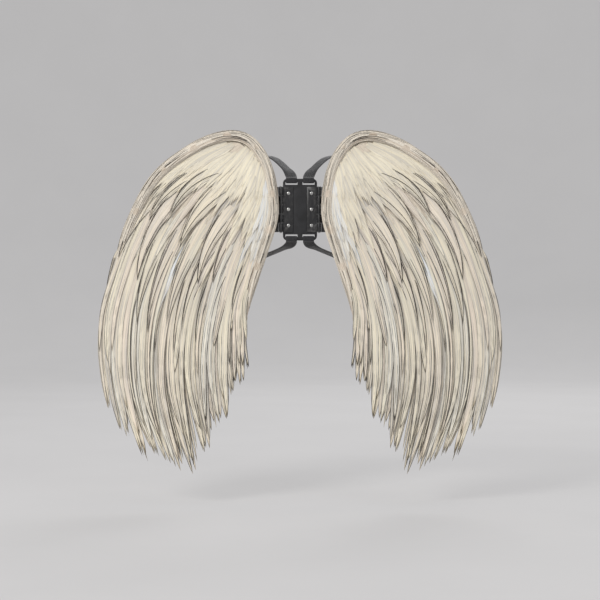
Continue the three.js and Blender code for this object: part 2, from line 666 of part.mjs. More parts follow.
function backPlate() {
  const body = slab(roundedRectangle(PLATE_WIDTH, PLATE_HEIGHT, PLATE_CORNER), PLATE_REAR_Y, PLATE_FRONT_Y);
  const halfSlot = STRAP_WIDTH / 2 + SLOT_CLEARANCE;
  const slotOuter = PLATE_HEIGHT / 2 - SLOT_BAR;
  const cuts = [];
  for (const sideways of [-1, 1]) {
    for (const upwards of [-1, 1]) {
      const x = sideways * STRAP_TO_CENTRE;
      const zs = [upwards * slotOuter, upwards * (slotOuter - SLOT_HEIGHT)].sort((a, b) => a - b);
      cuts.push(box(x - halfSlot, x + halfSlot, PLATE_FRONT_Y - 1, PLATE_REAR_Y + 1, zs[0], zs[1]));
    }
    const rivetX = sideways * (HINGE_X - PLATE_RIVET_TO_AXIS);
    cuts.push(...rivetHoles(rivetX, PLATE_REAR_Y, PLATE_FRONT_Y, PLATE_REAR_Y));
  }
  return cut(body, cuts);
}

const backPad = () => slab(roundedRectangle(PAD_WIDTH, PAD_HEIGHT, PAD_CORNER), 0, -PAD_THICKNESS, 5);

// The strap's route: out over the shoulder, down in front of it, back under the arm in a
// straight limb, and in to the plate's lower slot.
const STRAP_LEAVES_Y = PLATE_REAR_Y + STRAP_CLEARANCE + STRAP_THICKNESS / 2;
const STRAP_LEAVES_Z = PLATE_HEIGHT / 2 + STRAP_CLEARANCE + STRAP_THICKNESS / 2;
const OVER_SHOULDER = [
  [STRAP_TO_CENTRE, STRAP_LEAVES_Y, STRAP_LEAVES_Z], [STRAP_TO_CENTRE + 1, 0, 68], [27, 16, 83],
  [56, 52, 110], [90, 100, 116], [120, 140, 90], [139, 163, 42], [145, 168, -16], [139, 158, -70],
].map(([x, y, z]) => new THREE.Vector3(x, y, z));
const LIMB_FRONT = new THREE.Vector3(122, 133, -108);
const LIMB_REAR = new THREE.Vector3(38, 20, -78);
const LOWER_ANCHOR = new THREE.Vector3(STRAP_TO_CENTRE, STRAP_LEAVES_Y, -STRAP_LEAVES_Z);
const LIMB_ALONG = LIMB_REAR.clone().sub(LIMB_FRONT).normalize();

const strapPath = new THREE.CurvePath();
strapPath.add(new THREE.CatmullRomCurve3([...OVER_SHOULDER, LIMB_FRONT], false, 'centripetal'));
strapPath.add(new THREE.LineCurve3(LIMB_FRONT, LIMB_REAR));
strapPath.add(new THREE.CubicBezierCurve3(
  LIMB_REAR, LIMB_REAR.clone().addScaledVector(LIMB_ALONG, 16),
  LOWER_ANCHOR.clone().add(new THREE.Vector3(0, 14, -8)), LOWER_ANCHOR));
const LIMB_START = strapPath.getCurveLengths()[0];
const STRAP_LENGTH = strapPath.getLength();
const LOOP_SIDE = new THREE.Vector3(LIMB_ALONG.y, -LIMB_ALONG.x, 0).normalize().negate();

// A frame at a distance along the strap. Its side lies across the webbing.
function strapFrame(distance) {
  const share = THREE.MathUtils.clamp(distance / STRAP_LENGTH, 0, 1);
  const along = strapPath.getTangentAt(share);
  const fromEnd = Math.min(distance, STRAP_LENGTH - distance);
  const side = new THREE.Vector3(1, 0, 0).lerp(LOOP_SIDE, smooth(fromEnd, TWIST_START, STRAP_TWIST));
  side.addScaledVector(along, -side.dot(along)).normalize();
  return { origin: strapPath.getPointAt(share), side, face: new THREE.Vector3().crossVectors(along, side) };
}

// The sewn end of the strap, folded round the bar between a slot and the plate's end.
function strapEnd(upwards) {
  const hole = {
    y0: PLATE_FRONT_Y - STRAP_CLEARANCE,
    y1: PLATE_REAR_Y + STRAP_CLEARANCE,
    z0: PLATE_HEIGHT / 2 - SLOT_BAR - STRAP_CLEARANCE,
    z1: PLATE_HEIGHT / 2 + STRAP_CLEARANCE,
  };
  const [x0, x1] = [STRAP_TO_CENTRE - STRAP_WIDTH / 2, STRAP_TO_CENTRE + STRAP_WIDTH / 2];
  const t = STRAP_THICKNESS;
  const fold = cut(
    box(x0, x1, hole.y0 - t, hole.y1 + t, hole.z0 - t, hole.z1 + t),
    [box(x0 - t, x1 + t, hole.y0, hole.y1, hole.z0, hole.z1)]);
  return upwards > 0 ? fold : fold.rotateY(Math.PI).translate(2 * STRAP_TO_CENTRE, 0, 0);
}

function shoulderStrap() {
  const section = rectangle(-STRAP_WIDTH / 2, -STRAP_THICKNESS / 2, STRAP_WIDTH / 2, STRAP_THICKNESS / 2);
  const band = sweep(section, 40, (s) => strapFrame(s * STRAP_LENGTH));
  return join([band, strapEnd(1), strapEnd(-1)]);
}

// A flat sleeve round the webbing, with a window in its outer wall.
function strapAdjuster() {
  const [halfWidth, halfHeight] = [STRAP_WIDTH / 2 + ADJUSTER_CLEARANCE, STRAP_THICKNESS / 2 + ADJUSTER_CLEARANCE];
  const [outerWidth, outerHeight] = [halfWidth + ADJUSTER_WALL, halfHeight + ADJUSTER_WALL];
  const section = rectangle(-outerWidth, -outerHeight, outerWidth, outerHeight);
  section.holes.push(rectangle(-halfWidth, -halfHeight, halfWidth, halfHeight));
  const middle = strapFrame(LIMB_START + ADJUSTER_FROM_FRONT);
  const place = (s, length) => ({
    ...middle,
    origin: middle.origin.clone().addScaledVector(LIMB_ALONG, (s - 0.5) * length),
  });
  const beyond = 1; // the cutter stands proud of the wall
  const window = rectangle(WINDOW_MARGIN - halfWidth, 0, halfWidth - WINDOW_MARGIN, outerHeight + beyond);
  return cut(sweep(section, 1, (s) => place(s, ADJUSTER_LENGTH)), [
    sweep(window, 1, (s) => place(s, WINDOW_LENGTH)),
  ]);
}

// ---------------------------------------------------------------- assembly

function addPiece(group, name, geometry, material) {
  const piece = new THREE.Mesh(geometry, MATERIALS[material]);
  piece.name = name;
  group.add(piece);
}

// Everything that turns on one hinge.
function wing(side) {
  const group = new THREE.Group();
  const rivetX = HINGE_X + WING_RIVET_TO_AXIS;
  addPiece(group, `${side}_wing_leaf`, hingeLeaf(1, WING_LEAF_REACH, 1, WING_RIVET_TO_AXIS), 'hinge');
  addPiece(group, `${side}_root_block`, rootBlock(), 'block');
  addPiece(group, `${side}_frame_wire`, frameWire(), 'wire');
  addPiece(group, `${side}_backing_panel`, backingPanel(), 'felt');
  for (const strip of RIBS) addPiece(group, `${side}_${strip.name}`, rib(strip), 'boning');
  addPiece(group, `${side}_edge_roll`, edgeRoll(), 'rim');
  addPiece(group, `${side}_shoulder_cap`, shoulderCap(), 'rim');
  for (const [place, z] of Object.entries(RIVET_LEVELS)) {
    addPiece(group, `${side}_wing_rivet_${place}`, rivet(rivetX, z, LEAF_REAR_Y, PANEL_FRONT_Y), 'rivet');
  }
  for (const row of ROWS) addPiece(group, `${side}_${row.name}`, featherRow(row), 'feather');
  return group;
}

// One side of the harness.
function harnessSide(side) {
  const group = new THREE.Group();
  const rivetX = HINGE_X - PLATE_RIVET_TO_AXIS;
  addPiece(group, `${side}_plate_leaf`, hingeLeaf(-1, FIXED_LEAF_REACH, 0, PLATE_RIVET_TO_AXIS), 'hinge');
  addPiece(group, `${side}_hinge_pin`, hingePin(), 'rivet');
  addPiece(group, `${side}_shoulder_strap`, shoulderStrap(), 'webbing');
  addPiece(group, `${side}_strap_adjuster`, strapAdjuster(), 'adjuster');
  for (const [place, z] of Object.entries(RIVET_LEVELS)) {
    addPiece(group, `${side}_plate_rivet_${place}`, rivet(rivetX, z, LEAF_FRONT_Y, PLATE_REAR_Y), 'rivet');
  }
  return group;
}

const wings = new THREE.Group();
addPiece(wings, 'back_plate', backPlate(), 'plate');
addPiece(wings, 'back_pad', backPad(), 'pad');
for (const side of ['right', 'left']) {
  const half = new THREE.Group();
  half.scale.x = side === 'right' ? 1 : -1;
  half.add(wing(side), harnessSide(side));
  wings.add(half);
}

export default wings;
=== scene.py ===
"""Feathered costume wings on a folding shoulder harness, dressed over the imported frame.

Everything is in metres in the frame's own axes: +Z up, +Y towards the wearer's chest, +X the
wearer's right. Helper functions take the wing's own flat coordinates in millimetres.
The right wing is described once, and the left is its mirror.
"""
import math
import random

import bpy
import numpy as np
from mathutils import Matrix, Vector


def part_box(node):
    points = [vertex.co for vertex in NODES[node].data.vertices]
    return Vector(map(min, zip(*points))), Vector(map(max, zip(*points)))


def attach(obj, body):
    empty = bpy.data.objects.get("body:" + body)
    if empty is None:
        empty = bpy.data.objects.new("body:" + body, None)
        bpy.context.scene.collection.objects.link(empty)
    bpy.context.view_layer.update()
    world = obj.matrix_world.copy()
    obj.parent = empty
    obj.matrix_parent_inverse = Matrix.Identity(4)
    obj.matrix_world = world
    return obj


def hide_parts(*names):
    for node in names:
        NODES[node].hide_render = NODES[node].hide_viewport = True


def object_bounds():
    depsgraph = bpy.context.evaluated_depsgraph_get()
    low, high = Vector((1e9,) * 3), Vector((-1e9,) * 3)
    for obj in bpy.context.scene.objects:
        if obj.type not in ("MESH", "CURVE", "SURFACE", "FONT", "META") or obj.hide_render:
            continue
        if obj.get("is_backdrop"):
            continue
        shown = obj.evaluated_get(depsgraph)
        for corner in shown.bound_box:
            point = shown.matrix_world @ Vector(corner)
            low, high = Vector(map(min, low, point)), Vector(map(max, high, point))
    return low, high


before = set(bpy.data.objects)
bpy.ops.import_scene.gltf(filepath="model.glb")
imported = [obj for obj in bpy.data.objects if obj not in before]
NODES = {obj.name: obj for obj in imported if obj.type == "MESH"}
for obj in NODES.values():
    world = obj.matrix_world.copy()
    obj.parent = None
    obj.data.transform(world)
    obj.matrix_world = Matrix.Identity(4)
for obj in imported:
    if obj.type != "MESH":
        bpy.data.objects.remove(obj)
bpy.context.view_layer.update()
MM = 0.001
SIDES = {"right": 1, "left": -1}
X_AXIS = np.array([1.0, 0, 0])
Y_AXIS = np.array([0, 1.0, 0])

# ---------- points and paths


def pack(*parts):
    """Stacks coordinates, some of which may be single numbers, into points."""
    return np.stack(np.broadcast_arrays(*parts), axis=-1)


def unit(vectors):
    return vectors / np.linalg.norm(vectors, axis=-1, keepdims=True)


def eased(share):
    """A share from 0 to 1 that starts and ends gently."""
    share = np.clip(share, 0, 1)
    return share * share * (3 - 2 * share)


def reach_along(path):
    """The distance along a path at each of its points."""
    return np.concatenate([[0], np.cumsum(np.linalg.norm(np.diff(path, axis=0), axis=1))])


def sample(values, reach, wanted):
    """Values at wanted distances along a path."""
    return pack(*(np.interp(wanted, reach, column) for column in values.T))


def flat_across(path):
    """Unit directions across a flat path, towards the wing's outer edge."""
    along = unit(np.gradient(path, axis=0))
    return pack(-along[:, 1], along[:, 0])


def spline(p0, p1, p2, p3, t):
    """A smooth curve from p1 to p2 that heads for the points on both sides."""
    return 0.5 * (2 * p1 + (p2 - p0) * t + (2 * p0 - 5 * p1 + 4 * p2 - p3) * t**2
                  + (3 * p1 - p0 - 3 * p2 + p3) * t**3)


def catmull(points, count, closed=False):
    """Resamples a polyline of points as a smooth curve with even spacing."""
    pts = np.asarray(points, float)
    if closed:
        padded = np.vstack([pts[-1:], pts, pts[:2]])
    else:
        padded = np.vstack([2 * pts[:1] - pts[1:2], pts, 2 * pts[-1:] - pts[-2:-1]])
    dense = [spline(*four, t) for four in zip(padded, padded[1:], padded[2:], padded[3:])
             for t in np.linspace(0, 1, 16, endpoint=False)]
    dense = np.array(dense + [padded[1] if closed else padded[-2]])
    reach = reach_along(dense)
    return sample(dense, reach, np.linspace(0, reach[-1], count, endpoint=not closed))


def arc(start, middle, end, steps):
    """A bow from start to end, pulled towards the middle point."""
    t = np.linspace(0, 1, steps)[:, None]
    return (1 - t) ** 2 * start + 2 * t * (1 - t) * middle + t**2 * end


def circle(sides):
    """Cosines and sines of even steps round a circle."""
    angles = np.arange(sides) * 2 * math.pi / sides
    return np.cos(angles), np.sin(angles)


def round_section(width, sides):
    c, s = circle(sides)
    return pack(c * width / 2, s * width / 2)


# ---------- the wing's surface, as in the frame

PANEL_THICKNESS = 3.0
PANEL_REAR_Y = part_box("right_root_block")[0].y / MM - 0.3
RIM_TO_CENTRE = 42.0
WING_WIDTH = 360.0
WING_RISE = 156.0
PANEL_DROP = 390.0
OUTER_BOW = 36.0
BOW_START = 95.0
TIP_SWEEP = 20.0
SWEEP_START = 100.0
TIP_DROP = 524.0
SHINGLE_SLOPE = 0.05
ROOT_ARCH = 20.0
CAP_CENTRE = (90.0, 44.0)
CAP_REACH = (30.0, 62.0)
CAP_HEIGHT = 8.0

# [share of the width from the inner edge, level], from the hinge up, over the top and back.
OUTLINE = [
    (0, 0), (0.008, 0.26), (0.03, 0.5), (0.075, 0.74), (0.15, 0.93), (0.245, 1), (0.36, 0.965),
    (0.5, 0.82), (0.68, 0.51), (0.8, 0.1), (0.91, -0.205), (0.972, -0.45), (1, -0.64),
    (0.975, -0.83), (0.85, -0.96), (0.6, -1), (0.36, -0.95), (0.21, -0.8), (0.168, -0.6),
    (0.128, -0.41), (0.067, -0.24), (0.015, -0.09),
]
OUTLINE_STEPS = 720


def surface_y(x, z):
    """Rear face of the wing's panel, in millimetres, at x, z in the wing's flat coordinates."""
    bow = np.maximum(0, x - BOW_START) / (RIM_TO_CENTRE + WING_WIDTH - BOW_START)
    sweep = np.maximum(0, -z - SWEEP_START) / (TIP_DROP - SWEEP_START)
    return PANEL_REAR_Y + OUTER_BOW * bow**2 - TIP_SWEEP * sweep**2


def lay(x, z, depth):
    """Points in metres at a depth in front of the panel's rear face."""
    return pack(x * MM, (surface_y(x, z) - depth) * MM, z * MM)


def lay_flat(points, depth):
    """The same for an array of x, z points."""
    return lay(points[..., 0], points[..., 1], depth)


def cap_bulge(x, z):
    """Extra depth over the plush shoulder."""
    across = (x - CAP_CENTRE[0]) / CAP_REACH[0]
    along = (z - CAP_CENTRE[1]) / CAP_REACH[1]
    return CAP_HEIGHT * np.exp(-(across**2) - along**2)


def root_arch(x):
    """How far the roots of a row rise in the middle of the wing."""
    return ROOT_ARCH * np.sin(np.pi * (x - RIM_TO_CENTRE) / WING_WIDTH)


def outline_place(share, level):
    return RIM_TO_CENTRE + share * WING_WIDTH, level * (WING_RISE if level > 0 else PANEL_DROP)


RIM = catmull([outline_place(*point) for point in OUTLINE], OUTLINE_STEPS, closed=True)


def rim_points(share, inset):
    """x, z at shares of the outline's length, moved inwards, and the directions along and inwards."""
    index = np.asarray(share) * OUTLINE_STEPS
    low = np.floor(index).astype(int)
    mix = (index - low)[..., None]
    here, ahead = RIM[low % OUTLINE_STEPS], RIM[(low + 1) % OUTLINE_STEPS]
    along = unit(RIM[(low + 3) % OUTLINE_STEPS] - RIM[(low - 3) % OUTLINE_STEPS])
    inwards = pack(along[..., 1], -along[..., 0])
    return here * (1 - mix) + ahead * mix + inwards * inset, along, inwards


# ---------- how the feathers grow

# Lines of growth from the shoulder to the tips, from the inner edge to the outer edge.
GROWTH_LINES = [
    [(64, 62), (63, 4), (69, -40), (83, -90), (99, -140), (112, -190), (112, -260), (107, -338)],
    [(78, 96), (90, 26), (118, -54), (150, -150), (170, -250), (171, -340), (160, -428)],
    [(98, 118), (134, 50), (184, -40), (230, -140), (256, -250), (254, -370), (214, -522)],
    [(122, 132), (186, 84), (254, -8), (306, -120), (332, -240), (326, -370), (284, -494)],
    [(152, 131), (226, 98), (296, 34), (338, -40), (366, -112), (391, -190), (398, -262), (391, -336),
     (377, -404)],
]
LINE_STEPS = 60
GRID = np.array([catmull(line, LINE_STEPS + 1) for line in GROWTH_LINES])


def growth(u, s):
    """x, z at share u from the inner to the outer line and share s from shoulder to tip."""
    u = np.clip(np.asarray(u, float), -0.05, 1.05) * (len(GRID) - 1)
    s = np.clip(np.asarray(s, float), 0, 1.08) * LINE_STEPS
    low_s = np.minimum(np.floor(s).astype(int), LINE_STEPS - 1)
    mix_s = (s - low_s)[..., None]
    k = np.clip(np.floor(u).astype(int), 0, len(GRID) - 2)

    def line(i):
        i = np.clip(i, 0, len(GRID) - 1)
        return GRID[i, low_s] * (1 - mix_s) + GRID[i, low_s + 1] * mix_s

    p1, p2 = line(k), line(k + 1)
    p0 = np.where((k > 0)[..., None], line(k - 1), 2 * p1 - p2)
    p3 = np.where((k < len(GRID) - 2)[..., None], line(k + 2), 2 * p2 - p1)
    return spline(p0, p1, p2, p3, (u - k)[..., None])


# ---------- meshes

ATTRIBUTES = ("grain", "vane", "look")


class Batch:
    """Collects closed lofts, each of rings of points, into one mesh with its attributes."""

    def __init__(self):
        self.points, self.faces, self.count = [], [], 0
        self.data = {name: [] for name in ATTRIBUTES}

    def loft(self, rings, caps=True, closed_path=False, **data):
        """Joins rings into a skin. Each attribute is three values that spread over the rings."""
        rings = np.asarray(rings, float)
        n, k = rings.shape[:2]
        base = self.count
        self.points.append(rings.reshape(-1, 3))
        self.count += n * k
        for i in range(n if closed_path else n - 1):
            a, b = base + i * k, base + ((i + 1) % n) * k
            for j in range(k):
                m = (j + 1) % k
                self.faces.append((a + j, a + m, b + m, b + j))
        if caps and not closed_path:
            self.faces.append(tuple(base + j for j in reversed(range(k))))
            self.faces.append(tuple(base + (n - 1) * k + j for j in range(k)))
        for name in ATTRIBUTES:
            values = [np.broadcast_to(value, (n, k)) for value in data.get(name, (0, 0, 0))]
            self.data[name].append(pack(*values).reshape(-1, 3))

    def build(self, name, material, side="right", sharp=50):
        """Makes the mesh object, mirrored on the left."""
        points = np.vstack(self.points) * np.array([SIDES[side], 1, 1])
        faces = self.faces if side == "right" else [tuple(reversed(f)) for f in self.faces]
        mesh = bpy.data.meshes.new(name)
        mesh.from_pydata(points.tolist(), [], faces)
        for key in ATTRIBUTES:
            values = np.vstack(self.data[key])
            if np.any(values):
                layer = mesh.attributes.new(key, "FLOAT_VECTOR", "POINT")
                layer.data.foreach_set("vector", values.astype(np.float32).ravel())
        mesh.validate()
        mesh.shade_smooth()
        mesh.set_sharp_from_angle(angle=math.radians(sharp))
        mesh.materials.append(MATERIALS[material])
        piece = bpy.data.objects.new(name, mesh)
        bpy.context.scene.collection.objects.link(piece)
        return piece


def place(piece, body, slot, *nodes):
    """Rides a piece on its body and stands it in for CAD nodes. The slot is not used."""
    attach(piece, body)
    if nodes:
        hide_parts(*nodes)
    return piece


def on_wing(batch, side, name, material, slot, *nodes, sharp=50):
    """Builds a piece of one wing."""
    piece = batch.build(f"{side}_{name}", material, side, sharp)
    return place(piece, f"{side}_wing", slot, *(f"{side}_{node}" for node in nodes))


def frames_along(path, side):
    """Unit side and face at each point of a path, from a wanted side direction."""
    along = unit(np.gradient(path, axis=0))
    side = unit(side - along * np.sum(side * along, axis=1, keepdims=True))
    return side, np.cross(along, side)


def sweep_rings(path, side, section, scale=1.0):
    """Rings of a section carried along a path. The section is [side, face] offsets."""
    side, face = frames_along(path, side)
    offsets = section * np.broadcast_to(scale, len(path))[:, None, None]
    return path[:, None] + side[:, None] * offsets[..., :1] + face[:, None] * offsets[..., 1:]


def hoop_rings(loop, side, section):
    """Rings of a section carried round a closed loop that keeps one side direction."""
    along = unit(np.roll(loop, -1, axis=0) - np.roll(loop, 1, axis=0))
    face = np.cross(along, side)
    return loop[:, None] + side * section[:, :1] + face[:, None] * section[:, 1:]


# ---------- materials


def srgb(r, g, b):
    def linear(v):
        v /= 255
        return v / 12.92 if v <= 0.04045 else ((v + 0.055) / 1.055) ** 2.4
    return (linear(r), linear(g), linear(b), 1.0)


class Shader:
    """A small helper for building node trees."""

    def __init__(self, name, roughness, **constants):
        self.material = bpy.data.materials.new(name)
        self.material.use_nodes = True
        self.tree = self.material.node_tree
        self.bsdf = self.tree.nodes["Principled BSDF"]
        self.bsdf.inputs["Roughness"].default_value = roughness
        for key, value in constants.items():
            self.bsdf.inputs[key.replace("_", " ")].default_value = value

    def node(self, kind, inputs=None, **settings):
        made = self.tree.nodes.new(kind)
        for key, value in settings.items():
            setattr(made, key, value)
        for key, value in (inputs or {}).items():
            self.feed(made.inputs[key], value)
        return made

    def feed(self, socket, value):
        if isinstance(value, bpy.types.NodeSocket):
            self.tree.links.new(value, socket)
        else:
            socket.default_value = value

    def math(self, operation, a, b=0.0, c=0.0, clamp=False):
        return self.node("ShaderNodeMath", {0: a, 1: b, 2: c}, operation=operation,
                         use_clamp=clamp).outputs[0]

    def times(self, a, b, clamp=False):
        return self.math("MULTIPLY", a, b, clamp=clamp)

    def wave(self, value, pitch):
        return self.math("SINE", self.times(value, pitch))

    def mix(self, factor, a, b):
        return self.node("ShaderNodeMix", {0: factor, 6: a, 7: b}, data_type="RGBA").outputs[2]

    def ramp(self, factor, *stops):
        """A number or colour that runs through stops of [position, value]."""
        made = self.node("ShaderNodeValToRGB", {0: factor})
        elements = made.color_ramp.elements
        while len(elements) < len(stops):
            elements.new(0.5)
        for element, (position, value) in zip(elements, stops):
            element.position = position
            element.color = value if hasattr(value, "__len__") else (value, value, value, 1)
        return made.outputs[0]

    def tint(self, base, colour, factor, *stops):
        """Mixes a colour in by a ramp of the factor."""
        return self.mix(self.ramp(factor, *stops), base, colour)

    def attribute(self, name):
        """A vector attribute, and its three parts."""
        vector = self.node("ShaderNodeAttribute", attribute_name=name).outputs["Vector"]
        return vector, self.node("ShaderNodeSeparateXYZ", {0: vector}).outputs

    def position(self):
        return self.node("ShaderNodeTexCoord").outputs["Object"]

    def stretched(self, vector, scale, detail=3.0, roughness=0.55, size=1.0):
        """Noise drawn out by a different scale in each direction."""
        made = self.node("ShaderNodeVectorMath", {0: vector, 1: scale}, operation="MULTIPLY")
        return self.noise(made.outputs[0], size, detail, roughness)

    def noise(self, vector, scale, detail, roughness):
        return self.node("ShaderNodeTexNoise", {"Vector": vector, "Scale": scale, "Detail": detail,
                                                "Roughness": roughness}).outputs["Fac"]

    def cloud(self, scale, detail=3.0, roughness=0.55):
        """Even noise through the whole object."""
        return self.noise(self.position(), scale, detail, roughness)

    def cells(self, scale):
        made = self.node("ShaderNodeTexVoronoi", {"Vector": self.position(), "Scale": scale})
        return made.outputs["Distance"]

    def bump(self, height, strength, distance, under=None):
        made = self.node("ShaderNodeBump", {"Height": height, "Strength": strength, "Distance": distance})
        if under is not None:
            self.feed(made.inputs["Normal"], under)
        return made.outputs[0]

    def finish(self, colour, normal=None, roughness=None):
        for socket, value in (("Base Color", colour), ("Normal", normal), ("Roughness", roughness)):
            if value is not None:
                self.feed(self.bsdf.inputs[socket], value)
        return self.material


CREAM = srgb(240, 232, 210)
WARM = srgb(233, 222, 202)
BLUSH = srgb(240, 226, 210)
COOL = srgb(236, 239, 241)
GREY = srgb(199, 194, 186)
SHADE = srgb(140, 131, 118)
# Colour of the painted shade that is hatched on the inner vane of the feathers.
HATCHED_SHADE = srgb(140, 130, 118)
RACHIS = srgb(240, 226, 196)
INK = srgb(30, 26, 23)
TIP_BROWN = srgb(150, 130, 92)


def feather_material():
    """Vane with barbs, a rachis, washes of colour and laced dark edges.

    grain is [across, along, seed] in millimetres, vane is [distance from the edge in centimetres,
    share of the length, tone], and look is [strength of the dark edge, brown of the tip, streaks].
    """
    sh = Shader("feather_vane", 0.72, Sheen_Weight=0.2, Sheen_Roughness=0.5, Specular_IOR_Level=0.25)
    grain, g = sh.attribute("grain")
    _, (edge, along, tone) = sh.attribute("vane")
    _, (ink, dark_tip, streaks) = sh.attribute("look")
    base = sh.ramp(tone, (0.0, GREY), (0.2, WARM), (0.45, CREAM), (0.62, BLUSH), (0.8, CREAM), (1.0, COOL))
    # Long washes run with the feather.
    base = sh.tint(base, GREY, sh.stretched(grain, (0.25, 0.009, 1.0), 3.0, 0.6), (0.42, 0.0), (0.62, 0.65))
    base = sh.tint(base, GREY, sh.cloud(9.0), (0.45, 0.0), (0.7, 0.3))
    # Split barbs show as fine dark streaks, more of them towards the tip.
    streaks = sh.times(streaks, sh.ramp(along, (0.05, 0.35), (0.5, 1.0)))
    streak = sh.stretched(grain, (0.95, 0.011, 1.0))
    base = sh.mix(sh.times(sh.ramp(streak, (0.55, 0.0), (0.61, 0.9)), streaks, True), base, SHADE)
    hair = sh.stretched(grain, (1.7, 0.008, 1.0), 1.0)
    base = sh.mix(sh.times(sh.ramp(hair, (0.61, 0.0), (0.66, 1.0)), streaks, True), base, INK)
    # The root of each feather lies in the shade of the row above.
    base = sh.tint(base, SHADE, along, (0.0, 0.15), (0.25, 0.0))
    # The rachis is a pale ridge.
    centre = sh.math("ABSOLUTE", g[0])
    base = sh.tint(base, RACHIS, centre, (0.25, 0.5), (0.9, 0.0))
    # Painted shade: grey hatching on the inner vane, next to the dark edge.
    inner = sh.ramp(sh.times(g[0], -0.1), (0.1, 0.0), (0.9, 1.0))
    shade = sh.times(sh.ramp(edge, (0.1, 0.6), (0.6, 0.0)), inner)
    shade = sh.times(shade, sh.ramp(along, (0.25, 0.0), (0.7, 1.0)), True)
    base = sh.mix(sh.times(shade, ink, True), base, HATCHED_SHADE)
    # Dark laced edge, and a faint second line inside it.
    fade = sh.ramp(along, (0.1, 0.0), (0.3, 0.9), (1.0, 1.0))
    broken = sh.stretched(grain, (0.05, 0.03, 3.0), 2.0)
    uneven = sh.ramp(broken, (0.34, 0.35), (0.5, 1.0))
    outer = sh.ramp(edge, (0.0, 1.0), (0.09, 1.0), (0.13, 0.0))
    second = sh.ramp(edge, (0.3, 0.0), (0.34, 0.65), (0.39, 0.65), (0.43, 0.0))
    doubled = sh.times(second, sh.ramp(broken, (0.45, 0.0), (0.55, 1.0)))
    line = sh.math("MAXIMUM", sh.times(outer, uneven), doubled)
    line = sh.times(line, sh.times(fade, ink), True)
    tips = sh.times(sh.ramp(along, (0.84, 0.0), (1.0, 1.0)), dark_tip, True)
    base = sh.mix(tips, base, TIP_BROWN)
    base = sh.mix(line, base, INK)
    # Barbs slant from the rachis to the edge.
    slant = sh.math("SUBTRACT", g[1], sh.times(centre, 1.6))
    normal = sh.bump(sh.wave(slant, 4.6), 0.25, 0.0004)
    return sh.finish(base, sh.bump(streak, 0.6, 0.0015, normal))


def plush_material(name, light, dark, across, along, painted_highlight=None):
    """Laid strands of down: the grain attribute holds [across, along, seed] in millimetres."""
    sh = Shader(name, 0.85, Sheen_Weight=0.4, Sheen_Roughness=0.5, Specular_IOR_Level=0.25)
    grain, _ = sh.attribute("grain")
    _, vane = sh.attribute("vane")
    streak = sh.stretched(grain, (across, along, 1.0), 5.0, 0.65)
    base = sh.tint(light, dark, streak, (0.38, 0.0), (0.62, 1.0))
    base = sh.tint(base, BLUSH, sh.cloud(16.0), (0.4, 0.0), (0.7, 0.45))
    # Painted highlight: a paler colour mixed in by the third part of the vane attribute.
    if painted_highlight is not None:
        base = sh.mix(vane[2], base, painted_highlight)
    fine = sh.stretched(grain, (4 * across, 4 * along, 1.0))
    base = sh.tint(base, SHADE, fine, (0.6, 0.0), (0.72, 0.55))
    return sh.finish(base, sh.bump(fine, 0.35, 0.0006, sh.bump(streak, 0.6, 0.0018)))


def strand_material(name, colour, dark):
    """Strands that darken with the third part of the vane attribute."""
    sh = Shader(name, 0.6, Sheen_Weight=0.3, Specular_IOR_Level=0.35)
    _, vane = sh.attribute("vane")
    grain = sh.cloud(900.0, 2.0)
    base = sh.tint(sh.mix(vane[2], colour, dark), dark, grain, (0.4, 0.0), (0.7, 0.35))
    return sh.finish(base, sh.bump(grain, 0.2, 0.0003))


def felt_material():
    sh = Shader("felt_backing", 0.95, Sheen_Weight=0.5, Sheen_Roughness=0.6, Specular_IOR_Level=0.2)
    fibre = sh.cloud(700.0, 4.0, 0.7)
    base = sh.ramp(fibre, (0.3, srgb(176, 164, 142)), (0.7, srgb(214, 204, 184)))
    base = sh.tint(base, srgb(160, 148, 128), sh.cloud(45.0), (0.4, 0.0), (0.7, 0.3))
    return sh.finish(base, sh.bump(fibre, 0.5, 0.0006))


def webbing_material():
    """Black polyester webbing. The grain attribute holds [across, along] in millimetres."""
    sh = Shader("black_webbing", 0.75, Sheen_Weight=0.3, Specular_IOR_Level=0.35)
    _, g = sh.attribute("grain")
    twill = sh.wave(sh.math("ADD", sh.math("ABSOLUTE", g[0]), g[1]), 2.1)
    weave = sh.math("ADD", sh.times(sh.wave(g[0], 4.2), sh.wave(g[1], 3.1)), sh.times(twill, 0.7))
    level = sh.math("MULTIPLY_ADD", weave, 0.3, 0.5)
    shade = sh.ramp(level, (0.1, srgb(12, 12, 13)), (0.9, srgb(46, 46, 50)))
    shade = sh.tint(shade, srgb(70, 69, 70), sh.cloud(60.0), (0.5, 0.0), (0.8, 0.35))
    return sh.finish(shade, sh.bump(weave, 0.6, 0.0005))


def padding_material():
    """Black knitted mesh over foam."""
    sh = Shader("black_mesh_cloth", 0.9, Sheen_Weight=0.4, Specular_IOR_Level=0.25)
    cells = sh.cells(620.0)
    shade = sh.ramp(cells, (0.15, srgb(10, 10, 11)), (0.6, srgb(42, 42, 46)))
    shade = sh.tint(shade, srgb(62, 61, 64), sh.cloud(40.0), (0.45, 0.0), (0.75, 0.3))
    return sh.finish(shade, sh.bump(cells, 0.5, 0.0005))


def moulded_material():
    sh = Shader("black_moulded_plastic", 0.5, Specular_IOR_Level=0.45)
    cloud = sh.cloud(55.0)
    shade = sh.ramp(cloud, (0.35, srgb(21, 21, 23)), (0.7, srgb(33, 33, 36)))
    return sh.finish(shade, sh.bump(sh.cells(1100.0), 0.25, 0.0002), sh.ramp(cloud, (0.3, 0.42), (0.75, 0.6)))


